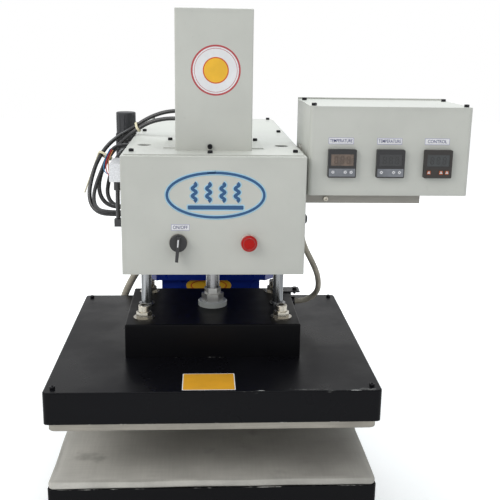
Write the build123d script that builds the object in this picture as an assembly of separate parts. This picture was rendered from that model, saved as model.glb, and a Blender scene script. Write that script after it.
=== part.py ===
from build123d import *
import os
from math import copysign, pi, radians, tan

# Pneumatic fusing press: a heated platen comes down onto a heated bed. Millimetres.
# Frame: x to the right, y to the rear, z up.
# The origin is the centre of the bolt-down pattern, on the floor.

# Fits
GAP = 0.3                 # between faces of pieces that pass or lie beside each other
FIT = 0.05                # radial running clearance of rods and shafts
HOLE_PLAY = 1.0           # a bolt hole over its bolt, on the diameter
SCREW_PLAY = 0.4          # a screw hole over its screw, on the diameter

# Fasteners
BOLT_D = 12.0
BOLT_AF = 19.0
BOLT_HEAD_T = 7.5
NUT_T = 10.0
SCREW_D = 5.0
SCREW_HEAD_D = 9.0
SCREW_HEAD_T = 4.6
SCREW_LEN = 9.0
SMALL_EDGE = 1.5          # rounded or chamfered edge of a small piece

# Base frame
FOOT_T = 8.0
FOOT_LEN = 90.0
RAIL_W = 60.0
RAIL_H = 60.0
RAIL_WALL = 4.0
RAIL_SPACING = 400.0
BASE_LEN = 760.0
DECK_T = 10.0
BASE_BOLT_SPACING_X = 490.0
BASE_BOLT_INSET = 40.0
BASE_BOLT_HOLE_D = 13.0
BASE_BOLT_EDGE = 25.0
FRONT_MEMBER_INSET = 30.0
RAIL_CAP_T = 4.0
BASE_BOLT_SPACING_Y = BASE_LEN - 2 * BASE_BOLT_INSET
DECK_Z = FOOT_T + RAIL_H + DECK_T

# Press: platens, bed and stroke
PRESS_Y = -140.0
STROKE = 95.0
CLOSED_GAP = 0.5

BED_CORNER_R = 6.0
TRAY_SHEET = 2.5
TRAY_H = 52.0
BED_PLATE_T = 22.0
PAD_W = 536.5
PAD_D = 486.0
PAD_T = 12.0
TRAY_MARGIN_X = 6.75      # from the pad's side to the tray's outer face
TRAY_MARGIN_Y = 7.0
PAD_CORNER_R = 10.0
PAD_EDGE_R = 2.0
PILLAR_D = 50.0
PILLAR_NECK_D = 40.0
PILLAR_H = 30.0
PILLAR_SPACING_X = 280.0
PILLAR_BEHIND = 20.0      # a front pillar's bolt behind the front cross member
PILLAR_FRONT_Y = FRONT_MEMBER_INSET - BASE_LEN / 2 + RAIL_W / 2 + PILLAR_BEHIND
PILLAR_SPACING_Y = 2 * (PRESS_Y - PILLAR_FRONT_Y)
BED_W = PAD_W + 2 * TRAY_MARGIN_X
BED_D = PAD_D + 2 * TRAY_MARGIN_Y
TRAY_Z = DECK_Z + PILLAR_H
BED_TOP_Z = TRAY_Z + TRAY_H
BED_PLATE_Z = BED_TOP_Z - BED_PLATE_T
PAD_TOP_Z = BED_TOP_Z + PAD_T

HEAT_OVER_X = 0.25        # the platen's side beyond the pad's
HEAT_OVER_Y = 10.0
HEAT_T = 24.0
HEAT_SHOWS = 14.5
HEAT_CORNER_R = 12.0
COVER_OVER = 6.0          # the cover's side beyond the platen's
COVER_H = 55.0
COVER_CORNER_R = 8.0
COVER_EDGE_R = 2.4
COVER_SCREW_IN_X = 14.5
COVER_SCREW_IN_Y = 18.0
BOARD_INSET = 34.0
HEAT_W = PAD_W + 2 * HEAT_OVER_X
HEAT_D = PAD_D + 2 * HEAT_OVER_Y
COVER_W = HEAT_W + 2 * COVER_OVER
COVER_D = HEAT_D + 2 * COVER_OVER
HEAT_Z = PAD_TOP_Z + CLOSED_GAP + STROKE
COVER_Z = HEAT_Z + HEAT_SHOWS
COVER_TOP_Z = COVER_Z + COVER_H

# Riser box on the platen cover, with what hangs and guides the platen
GUIDE_SPACING = 248.0
RISER_BESIDE = 31.5       # the riser's side outside a guide rod
RISER_D = 222.0
RISER_H = 61.4
RISER_WALL = 4.0
RISER_EDGE_R = 3.0
RISER_TOP_Z = COVER_TOP_Z + RISER_H
RISER_W = GUIDE_SPACING + 2 * RISER_BESIDE
GUIDE_D = 20.0
GUIDE_COLLAR_D = 30.0
GUIDE_COLLAR_T = 4.0
GUIDE_LEN = 298.5
ROD_OFFSET_Y = 5.0
HANG_FRONT_Y = -72.0
HANG_REAR_Y = 85.0
HANG_WASHER_D = 38.0
HANG_WASHER_T = 2.5
HANG_NUT_AF = 24.0
HANG_HEAD_D = 20.0
HANG_HEAD_T = 12.0
HANG_SOCKET_AF = 10.0
HANG_SOCKET_DEPTH = 6.0
HANG_THREAD_IN = 14.0
ROD_Y = PRESS_Y + ROD_OFFSET_Y

# Piston rod and its foot
PISTON_ROD_D = 25.0
ROD_THREAD_D = 18.0
ROD_HOLE_D = 40.0
FOOT_DISC_D = 54.0
FOOT_DISC_T = 10.0
COUPLING_AF = 36.0
COUPLING_T = 14.0
LOCKNUT_AF = 27.0
LOCKNUT_T = 11.0
PISTON_T = 22.0

# Column and the frame that it carries
COLUMN_W = 225.0
COLUMN_D = 160.0
COLUMN_WALL = 8.0
COLUMN_FOOT_W = 300.0
COLUMN_FOOT_D = 210.0
COLUMN_FOOT_INSET = 5.0   # the foot's rear edge from the base frame's
COLUMN_FOOT_T = 12.0
FLANGE_W = 305.0
FLANGE_D = 190.0
FLANGE_T = 16.0
FLANGE_CHAMFER = 28.0
FLANGE_TOP_Z = 370.0
FLANGE_BOLT_SPACING_X = 252.0
FLANGE_BOLT_SPACING_Y = 100.0
CABLE_HOLE_D = 80.0
COLUMN_Y = BASE_LEN / 2 - COLUMN_FOOT_INSET - COLUMN_FOOT_D / 2
COLUMN_FRONT_Y = COLUMN_Y - COLUMN_D / 2

YOKE_BESIDE = 25.0        # the yoke's end outside a guide rod
YOKE_D = 170.0
YOKE_T = 20.0
YOKE_Z = 500.0
ARM_CLEAR = 4.0           # between the arm and a bush's flange
ARM_H = 120.0
ARM_WALL = 8.0
ARM_REACH = 95.0
CYLINDER_PAD_T = 12.0
LUG_T = 12.0
LUG_LEN = 40.0
LUG_FRONT_Y = -190.0
LUG_BEHIND = 30.0         # the rear lugs behind the column's middle
SIDE_SCREW_Z = 596.0
LUG_REAR_Y = COLUMN_Y + LUG_BEHIND
ARM_Z = YOKE_Z + YOKE_T
ARM_TOP_Z = ARM_Z + ARM_H

BUSH_D = 34.0
BUSH_BELOW = 15.0
BUSH_ABOVE = 65.0
BUSH_FLANGE_D = 50.0
BUSH_FLANGE_T = 10.0
YOKE_W = GUIDE_SPACING + 2 * YOKE_BESIDE
ARM_W = GUIDE_SPACING - BUSH_FLANGE_D - 2 * ARM_CLEAR

# Air cylinder
CYLINDER_BORE = 100.0
CYLINDER_WALL = 4.0
CYLINDER_LEN = 170.0
CAP_W = 118.0
CAP_T = 28.0
CAP_CORNER_R = 8.0
TIE_ROD_D = 8.0
TIE_ROD_INSET = 10.0
TIE_NUT_AF = 13.0
TIE_NUT_T = 6.5
CYLINDER_Z = ARM_TOP_Z + CYLINDER_PAD_T
TUBE_Z = CYLINDER_Z + CAP_T
TUBE_TOP_Z = TUBE_Z + CYLINDER_LEN

# Head housing, lid and tower cover
HEAD_BESIDE = 31.8        # the housing's side outside a guide rod
HEAD_FRONT_Y = -266.0
HEAD_BEHIND = 64.0        # the housing's rear face behind the column
HEAD_Z = 494.8
HEAD_SHEET = 2.0
HEAD_H = 203.8
HEAD_EDGE_R = 2.4
HEAD_HEM_BOTTOM = 14.0
HEAD_HEM_TOP = 20.0
LID_INSET_SIDE = 5.8
LID_INSET_FRONT = 5.0
LID_INSET_REAR = 2.0
LID_GUIDE_HOLE_D = 25.0
LID_OPENING = 122.0
LID_SCREW_IN = 10.0
LID_SCREW_FRONT = 41.0
LID_SCREW_MIDDLE_Y = 100.0
LID_SCREW_REAR = 19.0
TOWER_W = 132.0
TOWER_D = 150.0
TOWER_H = 236.2
TOWER_SHEET = 1.5
TOWER_EDGE_R = 2.0
TOWER_FRONT_Y = -209.0
TOWER_HEM_W = 22.0
TOWER_HEM_FRONT_Y = -181.0
TOWER_SCREW_Y = -70.0
FRONT_SCREW_X = -6.5
FRONT_SCREW_Y = -242.5
FRONT_SCREW_UP = 7.2
TAB_W = 30.0
TAB_H = 14.0
LID_Z = HEAD_Z + HEAD_H
LID_TOP_Z = LID_Z + HEAD_SHEET
TOWER_TOP_Z = LID_TOP_Z + TOWER_H
HEAD_W = GUIDE_SPACING + 2 * HEAD_BESIDE
HEAD_SIDE_X = HEAD_W / 2
LID_W = HEAD_W - 2 * LID_INSET_SIDE
HEAD_REAR_Y = COLUMN_FRONT_Y + COLUMN_D + HEAD_BEHIND
HEAD_LEN = HEAD_REAR_Y - HEAD_FRONT_Y
LID_SCREW_YS = (HEAD_FRONT_Y + LID_SCREW_FRONT, LID_SCREW_MIDDLE_Y, HEAD_REAR_Y - LID_SCREW_REAR)

# Controls on the head's front
PANEL_HOLE_D = 22.5
BARREL_D = 22.0
CONTROL_Z = 551.5
SWITCH_X = -60.0
SWITCH_RING_D = 31.0
SWITCH_RING_T = 2.5
SWITCH_BLOCK_W = 32.0
SWITCH_BLOCK_T = 27.0
SWITCH_KNOB_D = 29.5
SWITCH_KNOB_T = 8.0
LEVER_W = 5.5
LEVER_DOWN = 30.0
LEVER_UP = 13.0
LEVER_PROUD = 11.0
LEVER_LEAN = 5.0          # degrees, its lower end to the left
SHAFT_D = 8.0
SHAFT_IN = 22.0
BUTTON_X = 60.0
BUTTON_COLLAR_D = 30.0
BUTTON_COLLAR_T = 7.0
BUTTON_CAP_D = 27.0
BUTTON_CAP_T = 8.0
BUTTON_TRAVEL = 4.0
BUTTON_EDGE_R = 2.0
COLLAR_EDGE_R = 1.0

# Control box, its bracket and its panel meters
BOX_BESIDE = 5.2          # between the head's side and the control box
BOX_W = 278.0
BOX_D = 185.0
BOX_H = 151.0
BOX_FRONT_Y = -245.0
BOX_Z = 630.0
BOX_SHEET = 1.5
BOX_EDGE_R = 7.0
BOX_HEM = 14.0
BOX_BACK_PROUD = 3.0
BOX_SCREW_IN = 8.0
BRACKET_W = 204.0
BRACKET_H = 16.0
BRACKET_D = 80.0
BRACKET_SHEET = 3.0
BRACKET_FRONT_Y = -230.0
BRACKET_SCREW_OUT = 38.2  # from the head's side
NIPPLE_D = 28.0
NIPPLE_BORE = 20.0
NIPPLE_Y = -130.0
NIPPLE_Z = 690.0
METERS_OUT = (56.0, 139.0, 221.0)
METER_Z = 686.0
METER_SIZE = 48.0
METER_BEZEL_T = 9.0
METER_CASE = 44.5
METER_CASE_T = 75.0
METER_BEZEL_R = 2.0
WINDOW_W = 39.0
WINDOW_H = 20.0
WINDOW_UP = 6.0
WINDOW_DEPTH = 1.2
KEY_W = 6.2
KEY_H = 6.2
KEY_T = 3.0
KEY_PROUD = 1.0
KEY_TRAVEL = 0.5
KEY_PLAY = 0.2
KEY_DOWN = 14.2
KEY_XS = (-15.8, 5.2, 15.4)
KEY_EDGE_R = 0.6
BOX_X = HEAD_SIDE_X + BOX_BESIDE
BRACKET_SCREW_X = HEAD_SIDE_X + BRACKET_SCREW_OUT
METER_XS = tuple(BOX_X + out for out in METERS_OUT)

# Solenoid valve, its coil, and the fittings on the head's left wall
VALVE_D = 30.0
VALVE_H = 33.0
VALVE_LEN = 80.0
VALVE_Y = -145.0
VALVE_Z = 634.0
VALVE_BASE_T = 2.0
VALVE_BASE_OVER = 4.0
COIL_LEN = 34.0
COIL_W = 26.0
COIL_H = 28.0
COIL_PLUG = 18.0
COIL_EDGE_R = 2.0
FITTING_D = 14.0
PORT_D = 10.0
PORT_STEP = 22.0
PORT_IN = 4.0
HOSE_D = 8.0
CABLE_D = 7.0
WIRE_D = 2.0

# Regulator with knob and bowl
REG_BESIDE = 22.2         # from the head's side to the regulator's middle
REG_Y = 100.0
REG_W = 40.0
REG_H = 50.0
REG_KNOB_D = 40.0
REG_KNOB_H = 43.0
REG_KNOB_Z = 697.0
REG_STEM_D = 12.0
REG_STEM_IN = 12.0
REG_PLATE_T = 2.2
REG_PLATE_W = 56.0
REG_PLATE_INSET = 6.0
REG_CORNER_R = 4.0
KNOB_EDGE_R = 2.5
FLUTES = 12
FLUTE_R = 2.2
FLUTE_CENTRE_R = 21.2
FLUTE_LEN = 31.0
BOWL_D = 34.0
BOWL_H = 55.0
BOWL_WALL = 3.0
BOWL_EDGE_R = 8.0
REG_TOP_Z = REG_KNOB_Z - GAP
REG_Z = REG_TOP_Z - REG_H
REG_X = -(HEAD_SIDE_X + REG_BESIDE)

# Conduits
HEATER_CONDUIT_D = 11.0
REAR_CONDUIT_D = 16.0
GLAND_WALL = 4.0
GLAND_LEN = 12.0
CONDUIT_TAB_T = 6.0
CONDUIT_TAB_LEN = 40.0
TERMINAL_W = 32.0
TERMINAL_D = 30.0
TERMINAL_T = 2.5
TERMINAL_DROP = 9.5
TERMINAL_IN = 12.0
TIE_T = 1.6
TIE_W = 4.5
TIE_PLAY = 0.9
TAIL_TIE_PLAY = 1.5
TAIL_LEN = 84.0


def block(x, y, z):
    """A block between the (low, high) pairs of its three axes."""
    place = Pos((x[0] + x[1]) / 2, (y[0] + y[1]) / 2, (z[0] + z[1]) / 2)
    return place * Box(x[1] - x[0], y[1] - y[0], z[1] - z[0])


def around(middle, width):
    """The (low, high) pair of a width about its middle."""
    return (middle - width / 2, middle + width / 2)


def span(low, length):
    """The (low, high) pair of a length from its low end."""
    return (low, low + length)


def pin_x(x, y, z, diameter):
    """A round bar along x, from x[0] to x[1]."""
    return Pos((x[0] + x[1]) / 2, y, z) * Rot(0, 90, 0) * Cylinder(diameter / 2, x[1] - x[0])


def pin_y(x, y, z, diameter):
    """A round bar along y, from y[0] to y[1]."""
    return Pos(x, (y[0] + y[1]) / 2, z) * Rot(90, 0, 0) * Cylinder(diameter / 2, y[1] - y[0])


def pin_z(x, y, z, diameter):
    """A round bar along z, from z[0] to z[1]."""
    return Pos(x, y, (z[0] + z[1]) / 2) * Cylinder(diameter / 2, z[1] - z[0])


def hexagon(x, y, z, across_flats):
    """An upright hexagonal bar."""
    flat = Pos(x, y, z[0]) * RegularPolygon(across_flats / 2, 6, major_radius=False)
    return extrude(flat, amount=z[1] - z[0])


def slab(width, depth, z, radius, x=0.0, y=PRESS_Y):
    """A level plate with round corners."""
    flat = Pos(x, y, z[0]) * RectangleRounded(width, depth, radius)
    return extrude(flat, amount=z[1] - z[0])


def tray(width, depth, z, radius, sheet, opens_up):
    """A round-cornered sheet tray that is open at the top or at the bottom."""
    inner_z = (z[0] + sheet, z[1] + sheet) if opens_up else (z[0] - sheet, z[1] - sheet)
    hollow = slab(width - 2 * sheet, depth - 2 * sheet, inner_z, max(radius - sheet, 0.5))
    return slab(width, depth, z, radius) - hollow


def corners(width, depth, x=0.0, y=0.0):
    """The four corner points of a rectangle."""
    return [(x + sx * width / 2, y + sy * depth / 2) for sx in (-1, 1) for sy in (-1, 1)]


def nut(x, y, z, across_flats=BOLT_AF, bore=BOLT_D):
    """A hexagon nut around a bolt."""
    return hexagon(x, y, z, across_flats) - pin_z(x, y, z, bore + 2 * FIT)


def screw_down(x, y, z, sign=1.0, length=SCREW_LEN):
    """A button-head screw along z, with its head on the face at z, on the side that sign gives."""
    head = pin_z(x, y, sorted((z, z + sign * SCREW_HEAD_T)), SCREW_HEAD_D)
    return head + pin_z(x, y, sorted((z, z - sign * length)), SCREW_D)


def screw_in(x, y, z, sign=1.0):
    """A button-head screw along y, with its head on the face at y: sign 1 points its shank to the rear."""
    head = pin_y(x, sorted((y, y - sign * SCREW_HEAD_T)), z, SCREW_HEAD_D)
    return head + pin_y(x, sorted((y, y + sign * SCREW_LEN)), z, SCREW_D)


def screw_across(x, y, z, sign=1.0):
    """A button-head screw along x, with its head on the face at x: sign 1 points its shank to the right."""
    head = pin_x(sorted((x, x - sign * SCREW_HEAD_T)), y, z, SCREW_HEAD_D)
    return head + pin_x(sorted((x, x + sign * SCREW_LEN)), y, z, SCREW_D)


def cord(name, points, diameter):
    """A round cord along its points: straight runs joined by the largest arcs that they allow."""
    points = [Vector(*p) for p in points]
    runs = [b - a for a, b in zip(points, points[1:])]
    turns = [a.get_angle(b) for a, b in zip(runs, runs[1:])]
    shorter = [min(a.length, b.length) for a, b in zip(runs, runs[1:])]
    radii = [0.45 * length / tan(radians(turn / 2)) for length, turn in zip(shorter, turns)]
    path = FilletPolyline(*points, radius=radii)
    tube = sweep(Plane(origin=points[0], z_dir=runs[0]) * Circle(diameter / 2), path=path)
    ideal = path.length * pi * diameter**2 / 4
    print(
        f"{name}: length {path.length:.0f}, runs {[round(r.length) for r in runs]},"
        f" turns {[round(t) for t in turns]}, radii in diameters {[round(r / diameter, 1) for r in radii]},"
        f" volume over section by length {tube.volume / ideal:.4f}"
    )
    return tube


def write(node, *solids):
    """Writes one node's solids to its STEP file."""
    shape = solids[0] if len(solids) == 1 else Compound(children=list(solids))
    export_step(shape, f"parts/{node}.step")


def base_frame():
    """Two capped rails, three cross members, four foot plates and the deck, welded face to face."""
    solids = []
    rail_z = span(FOOT_T, RAIL_H)
    rail_y = around(0, BASE_LEN)
    bore_z = (rail_z[0] + RAIL_WALL, rail_z[1] - RAIL_WALL)
    for side in (-1, 1):
        rail_x = side * RAIL_SPACING / 2
        rail = block(around(rail_x, RAIL_W), rail_y, rail_z)
        rail -= block(around(rail_x, RAIL_W - 2 * RAIL_WALL), around(0, BASE_LEN + 2), bore_z)
        solids.append(rail)
        for end in (-1, 1):
            cap_y = sorted((end * (BASE_LEN / 2 - RAIL_CAP_T), end * BASE_LEN / 2))
            solids.append(block(around(rail_x, RAIL_W - 2 * RAIL_WALL), cap_y, bore_z))
        hole_x = side * BASE_BOLT_SPACING_X / 2
        foot_x = sorted((side * (RAIL_SPACING / 2 - RAIL_W / 2), hole_x + side * BASE_BOLT_EDGE))
        for end in (-1, 1):
            hole_y = end * BASE_BOLT_SPACING_Y / 2
            foot = block(foot_x, around(hole_y, FOOT_LEN), (0, FOOT_T))
            solids.append(foot - pin_z(hole_x, hole_y, (-1, FOOT_T + 1), BASE_BOLT_HOLE_D))
    member_x = around(0, RAIL_SPACING - RAIL_W)
    for member_y in (FRONT_MEMBER_INSET - BASE_LEN / 2, PRESS_Y, COLUMN_Y):
        member = block(member_x, around(member_y, RAIL_W), rail_z)
        member -= block(around(0, RAIL_SPACING), around(member_y, RAIL_W - 2 * RAIL_WALL), bore_z)
        solids.append(member)
    deck = block(around(0, RAIL_SPACING + RAIL_W), rail_y, (rail_z[1], DECK_Z))
    for x, y in column_foot_bolts() + pillar_places():
        deck -= pin_z(x, y, (rail_z[1] - 1, DECK_Z + 1), BOLT_D + HOLE_PLAY)
    deck -= pin_z(0, COLUMN_Y, (rail_z[1] - 1, DECK_Z + 1), CABLE_HOLE_D)
    deck -= pin_z(*REAR_CONDUIT[-1][:2], (rail_z[1] - 1, DECK_Z + 1), REAR_CONDUIT_D)
    solids.append(deck)
    return solids


def column_foot_bolts():
    """Where the column's foot is bolted to the deck."""
    edge = (COLUMN_FOOT_D - COLUMN_D) / 2
    side = (COLUMN_FOOT_W - COLUMN_W) / 2
    return corners(COLUMN_W + side, COLUMN_D + edge, 0, COLUMN_Y)


def flange_bolts():
    """Where the column's head flange is bolted to the upper frame."""
    ends = corners(FLANGE_BOLT_SPACING_X, FLANGE_BOLT_SPACING_Y, 0, COLUMN_Y)
    return ends + [(side * FLANGE_BOLT_SPACING_X / 2, COLUMN_Y) for side in (-1, 1)]


def flange(z):
    """One plate of the joint between the column and the upper frame, with cut corners."""
    plate = block(around(0, FLANGE_W), around(COLUMN_Y, FLANGE_D), z)
    plate = chamfer(plate.edges().filter_by(Axis.Z), length=FLANGE_CHAMFER)
    for x, y in flange_bolts():
        plate -= pin_z(x, y, (z[0] - 1, z[1] + 1), BOLT_D + HOLE_PLAY)
    return plate - pin_z(0, COLUMN_Y, (z[0] - 1, z[1] + 1), CABLE_HOLE_D)


def square_tube(z):
    """The column's box section between two heights."""
    outer = block(around(0, COLUMN_W), around(COLUMN_Y, COLUMN_D), z)
    wall = 2 * COLUMN_WALL
    return outer - block(around(0, COLUMN_W - wall), around(COLUMN_Y, COLUMN_D - wall), z)


def column():
    """The lower column: foot, box section and head flange."""
    foot_z = span(DECK_Z, COLUMN_FOOT_T)
    foot = block(around(0, COLUMN_FOOT_W), around(COLUMN_Y, COLUMN_FOOT_D), foot_z)
    for x, y in column_foot_bolts():
        foot -= pin_z(x, y, (foot_z[0] - 1, foot_z[1] + 1), BOLT_D + HOLE_PLAY)
    foot -= pin_z(0, COLUMN_Y, (foot_z[0] - 1, foot_z[1] + 1), CABLE_HOLE_D)
    tube = square_tube((foot_z[1], FLANGE_TOP_Z - FLANGE_T))
    return foot + tube + flange((FLANGE_TOP_Z - FLANGE_T, FLANGE_TOP_Z))


def upper_frame():
    """Flange, neck, cap, arm, yoke, cylinder pad, lugs and conduit tab, welded face to face."""
    flange_z = span(FLANGE_TOP_Z, FLANGE_T)
    cap_z = (ARM_TOP_Z - COLUMN_WALL, ARM_TOP_Z)
    cap = block(around(0, COLUMN_W), around(COLUMN_Y, COLUMN_D), cap_z)
    solids = [flange(flange_z), square_tube((flange_z[1], cap_z[0])), cap]
    arm_y = (ROD_Y - ARM_REACH, COLUMN_FRONT_Y)
    arm = block(around(0, ARM_W), arm_y, (ARM_Z, ARM_TOP_Z))
    inner_z = (ARM_Z + ARM_WALL, ARM_TOP_Z - ARM_WALL)
    arm -= block(around(0, ARM_W - 2 * ARM_WALL), (arm_y[0] + ARM_WALL, arm_y[1] + 1), inner_z)
    yoke = block(around(0, YOKE_W), around(ROD_Y, YOKE_D), (YOKE_Z, ARM_Z))
    for side in (-1, 1):
        yoke -= pin_z(side * GUIDE_SPACING / 2, ROD_Y, (YOKE_Z - 1, ARM_Z + 1), BUSH_D + 2 * FIT)
    pad = block(around(0, CAP_W), around(ROD_Y, CAP_W), (ARM_TOP_Z, CYLINDER_Z))
    rod_hole = pin_z(0, ROD_Y, (YOKE_Z - 1, CYLINDER_Z + 1), ROD_HOLE_D)
    solids += [arm - rod_hole, yoke - rod_hole, pad - rod_hole]
    lug_reach = HEAD_SIDE_X - HEAD_SHEET - GAP
    for side in (-1, 1):
        for root_x, lug_y in ((ARM_W / 2, LUG_FRONT_Y), (COLUMN_W / 2, LUG_REAR_Y)):
            lug_x = sorted((side * root_x, side * lug_reach))
            lug = block(lug_x, around(lug_y, LUG_LEN), around(SIDE_SCREW_Z, LUG_T))
            hole_x = sorted((side * (lug_reach - SCREW_LEN), side * (lug_reach + 1)))
            solids.append(lug - pin_x(hole_x, lug_y, SIDE_SCREW_Z, SCREW_D + SCREW_PLAY))
    tab_x = (REAR_CONDUIT[0][0] - CONDUIT_TAB_LEN / 2, -ARM_W / 2)
    tab_y = around(REAR_CONDUIT[0][1], CONDUIT_TAB_LEN)
    tab = block(tab_x, tab_y, span(YOKE_Z, CONDUIT_TAB_T))
    solids.append(tab - pin_z(*REAR_CONDUIT[0][:2], around(YOKE_Z, 4 * CONDUIT_TAB_T), REAR_CONDUIT_D))
    solids.append(block(span(-ARM_W / 2, ARM_WALL), tab_y, (YOKE_Z, ARM_Z)))
    return solids


def frame_bolts():
    """Bolts of the column's foot and of its head flange, with their nuts."""
    solids = []
    joints = [(p, DECK_Z - DECK_T, DECK_Z + COLUMN_FOOT_T) for p in column_foot_bolts()]
    joints += [(p, FLANGE_TOP_Z - FLANGE_T, FLANGE_TOP_Z + FLANGE_T) for p in flange_bolts()]
    for (x, y), low, high in joints:
        head = hexagon(x, y, span(high, BOLT_HEAD_T), BOLT_AF)
        solids.append(head + pin_z(x, y, (low - NUT_T - 2, high), BOLT_D))
        solids.append(nut(x, y, (low - NUT_T, low)))
    return solids


def pillar_places():
    """Where the bed's pillars stand on the deck."""
    return corners(PILLAR_SPACING_X, PILLAR_SPACING_Y, 0, PRESS_Y)


def bed_pillars():
    """Shouldered posts that carry the bed tray on their shoulders and the bed plate on their tops."""
    solids = []
    for x, y in pillar_places():
        post = pin_z(x, y, (DECK_Z, TRAY_Z), PILLAR_D)
        post += pin_z(x, y, (TRAY_Z, BED_PLATE_Z), PILLAR_NECK_D)
        solids.append(post - pin_z(x, y, (DECK_Z - 1, TRAY_Z), BOLT_D + 2 * FIT))
    return solids


def bed_bolts():
    """Bolts from below the deck into the pillars."""
    solids = []
    under = DECK_Z - DECK_T
    for x, y in pillar_places():
        head = hexagon(x, y, (under - BOLT_HEAD_T, under), BOLT_AF)
        solids.append(head + pin_z(x, y, (under, TRAY_Z - GAP), BOLT_D))
    return solids


def bed_tray():
    """The black sheet body round the bed's plate."""
    body = tray(BED_W, BED_D, (TRAY_Z, BED_TOP_Z), BED_CORNER_R, TRAY_SHEET, True)
    for x, y in pillar_places():
        body -= pin_z(x, y, (TRAY_Z - 1, TRAY_Z + TRAY_SHEET + 1), PILLAR_NECK_D + 2 * GAP)
    return body


def bed_insulation():
    """The board between the tray's floor and the bed's heating plate."""
    board = slab(PAD_W, PAD_D, (TRAY_Z + TRAY_SHEET, BED_PLATE_Z - GAP), BED_CORNER_R)
    for x, y in pillar_places():
        board -= pin_z(x, y, (TRAY_Z, BED_PLATE_Z + 1), PILLAR_NECK_D + 2 * GAP)
    return board


def bed_plate():
    """The bed's heating plate, of aluminium."""
    return slab(PAD_W, PAD_D, (BED_PLATE_Z, BED_TOP_Z), PAD_CORNER_R)


def bed_pad():
    """The cloth-covered sponge pad on the bed."""
    pad = slab(PAD_W, PAD_D, (BED_TOP_Z, PAD_TOP_Z), PAD_CORNER_R)
    return fillet(pad.edges().group_by(Axis.Z)[-1], PAD_EDGE_R)


def cover_screw_places():
    """The four corner screws of the platen cover."""
    return corners(COVER_W - 2 * COVER_SCREW_IN_X, COVER_D - 2 * COVER_SCREW_IN_Y, 0, PRESS_Y)


def hanging_places():
    """The four bolts that hang the heat platen from the riser."""
    return [(side * GUIDE_SPACING / 2, PRESS_Y + y) for side in (-1, 1) for y in (HANG_FRONT_Y, HANG_REAR_Y)]


def stud_places():
    """The studs of the two guide rods and of the piston rod's foot in the riser's top."""
    return [(-GUIDE_SPACING / 2, ROD_Y), (0, ROD_Y), (GUIDE_SPACING / 2, ROD_Y)]


def platen_cover():
    """The black sheet cover over the heat platen."""
    cover = slab(COVER_W, COVER_D, (COVER_Z, COVER_TOP_Z), COVER_CORNER_R)
    cover = fillet(cover.edges().group_by(Axis.Z)[-1], COVER_EDGE_R)
    inner_r = COVER_CORNER_R - TRAY_SHEET
    inner_z = (COVER_Z - 1, COVER_TOP_Z - TRAY_SHEET)
    cover -= slab(COVER_W - 2 * TRAY_SHEET, COVER_D - 2 * TRAY_SHEET, inner_z, inner_r)
    top_z = (COVER_TOP_Z - TRAY_SHEET - 1, COVER_TOP_Z + 1)
    for x, y in cover_screw_places():
        cover -= pin_z(x, y, top_z, SCREW_D + SCREW_PLAY)
    for x, y in hanging_places():
        cover -= pin_z(x, y, top_z, BOLT_D + HOLE_PLAY)
    return cover


def platen_insulation():
    """The board between the heat platen and its cover."""
    z = (HEAT_Z + HEAT_T, COVER_TOP_Z - TRAY_SHEET - GAP)
    board = slab(COVER_W - 2 * BOARD_INSET, COVER_D - 2 * BOARD_INSET, z, COVER_CORNER_R)
    for x, y in hanging_places():
        board -= pin_z(x, y, (z[0] - 1, z[1] + 1), BOLT_D + HOLE_PLAY)
    return board


def heat_platen():
    """The heated aluminium platen."""
    platen = slab(HEAT_W, HEAT_D, span(HEAT_Z, HEAT_T), HEAT_CORNER_R)
    platen = fillet(platen.edges().group_by(Axis.Z)[0], SMALL_EDGE)
    top = HEAT_Z + HEAT_T
    for x, y in hanging_places():
        platen -= pin_z(x, y, (top - HANG_THREAD_IN, top + 1), BOLT_D + 2 * FIT)
    for x, y in cover_screw_places():
        platen -= pin_z(x, y, (top - SCREW_LEN - 1, top + 1), SCREW_D + 2 * FIT)
    return platen


def platen_screws():
    """The cover's corner screws, down into the heat platen."""
    length = COVER_TOP_Z - (HEAT_Z + HEAT_T) + SCREW_LEN
    return [screw_down(x, y, COVER_TOP_Z, length=length) for x, y in cover_screw_places()]


def riser_box():
    """The black box between the platen cover and the moving rods."""
    box = slab(RISER_W, RISER_D, (COVER_TOP_Z, RISER_TOP_Z), RISER_EDGE_R)
    box = fillet(box.edges().group_by(Axis.Z)[-1], RISER_EDGE_R - 0.2)
    inner_z = (COVER_TOP_Z - 1, RISER_TOP_Z - RISER_WALL)
    box -= slab(RISER_W - 2 * RISER_WALL, RISER_D - 2 * RISER_WALL, inner_z, 1.0)
    for x, y in hanging_places() + stud_places():
        box -= pin_z(x, y, (RISER_TOP_Z - RISER_WALL - 1, RISER_TOP_Z + 1), BOLT_D + HOLE_PLAY)
    return box


def riser_bolts():
    """Hanging bolts with washers and nuts, and the nuts under the riser's top."""
    solids = []
    washer_z = span(RISER_TOP_Z, HANG_WASHER_T)
    nut_z = span(washer_z[1], NUT_T)
    head_z = span(nut_z[1], HANG_HEAD_T)
    for x, y in hanging_places():
        head = pin_z(x, y, head_z, HANG_HEAD_D)
        head = fillet(head.edges().group_by(Axis.Z)[-1], SMALL_EDGE)
        head -= hexagon(x, y, (head_z[1] - HANG_SOCKET_DEPTH, head_z[1] + 1), HANG_SOCKET_AF)
        shank_z = (HEAT_Z + HEAT_T - HANG_THREAD_IN + 1, head_z[0])
        solids.append(head + pin_z(x, y, shank_z, BOLT_D))
        washer = pin_z(x, y, washer_z, HANG_WASHER_D)
        solids.append(washer - pin_z(x, y, (washer_z[0] - 1, washer_z[1] + 1), BOLT_D + HOLE_PLAY))
        solids.append(nut(x, y, nut_z, HANG_NUT_AF))
    under = RISER_TOP_Z - RISER_WALL
    for x, y in stud_places():
        solids.append(nut(x, y, (under - NUT_T, under)))
    return solids


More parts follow.
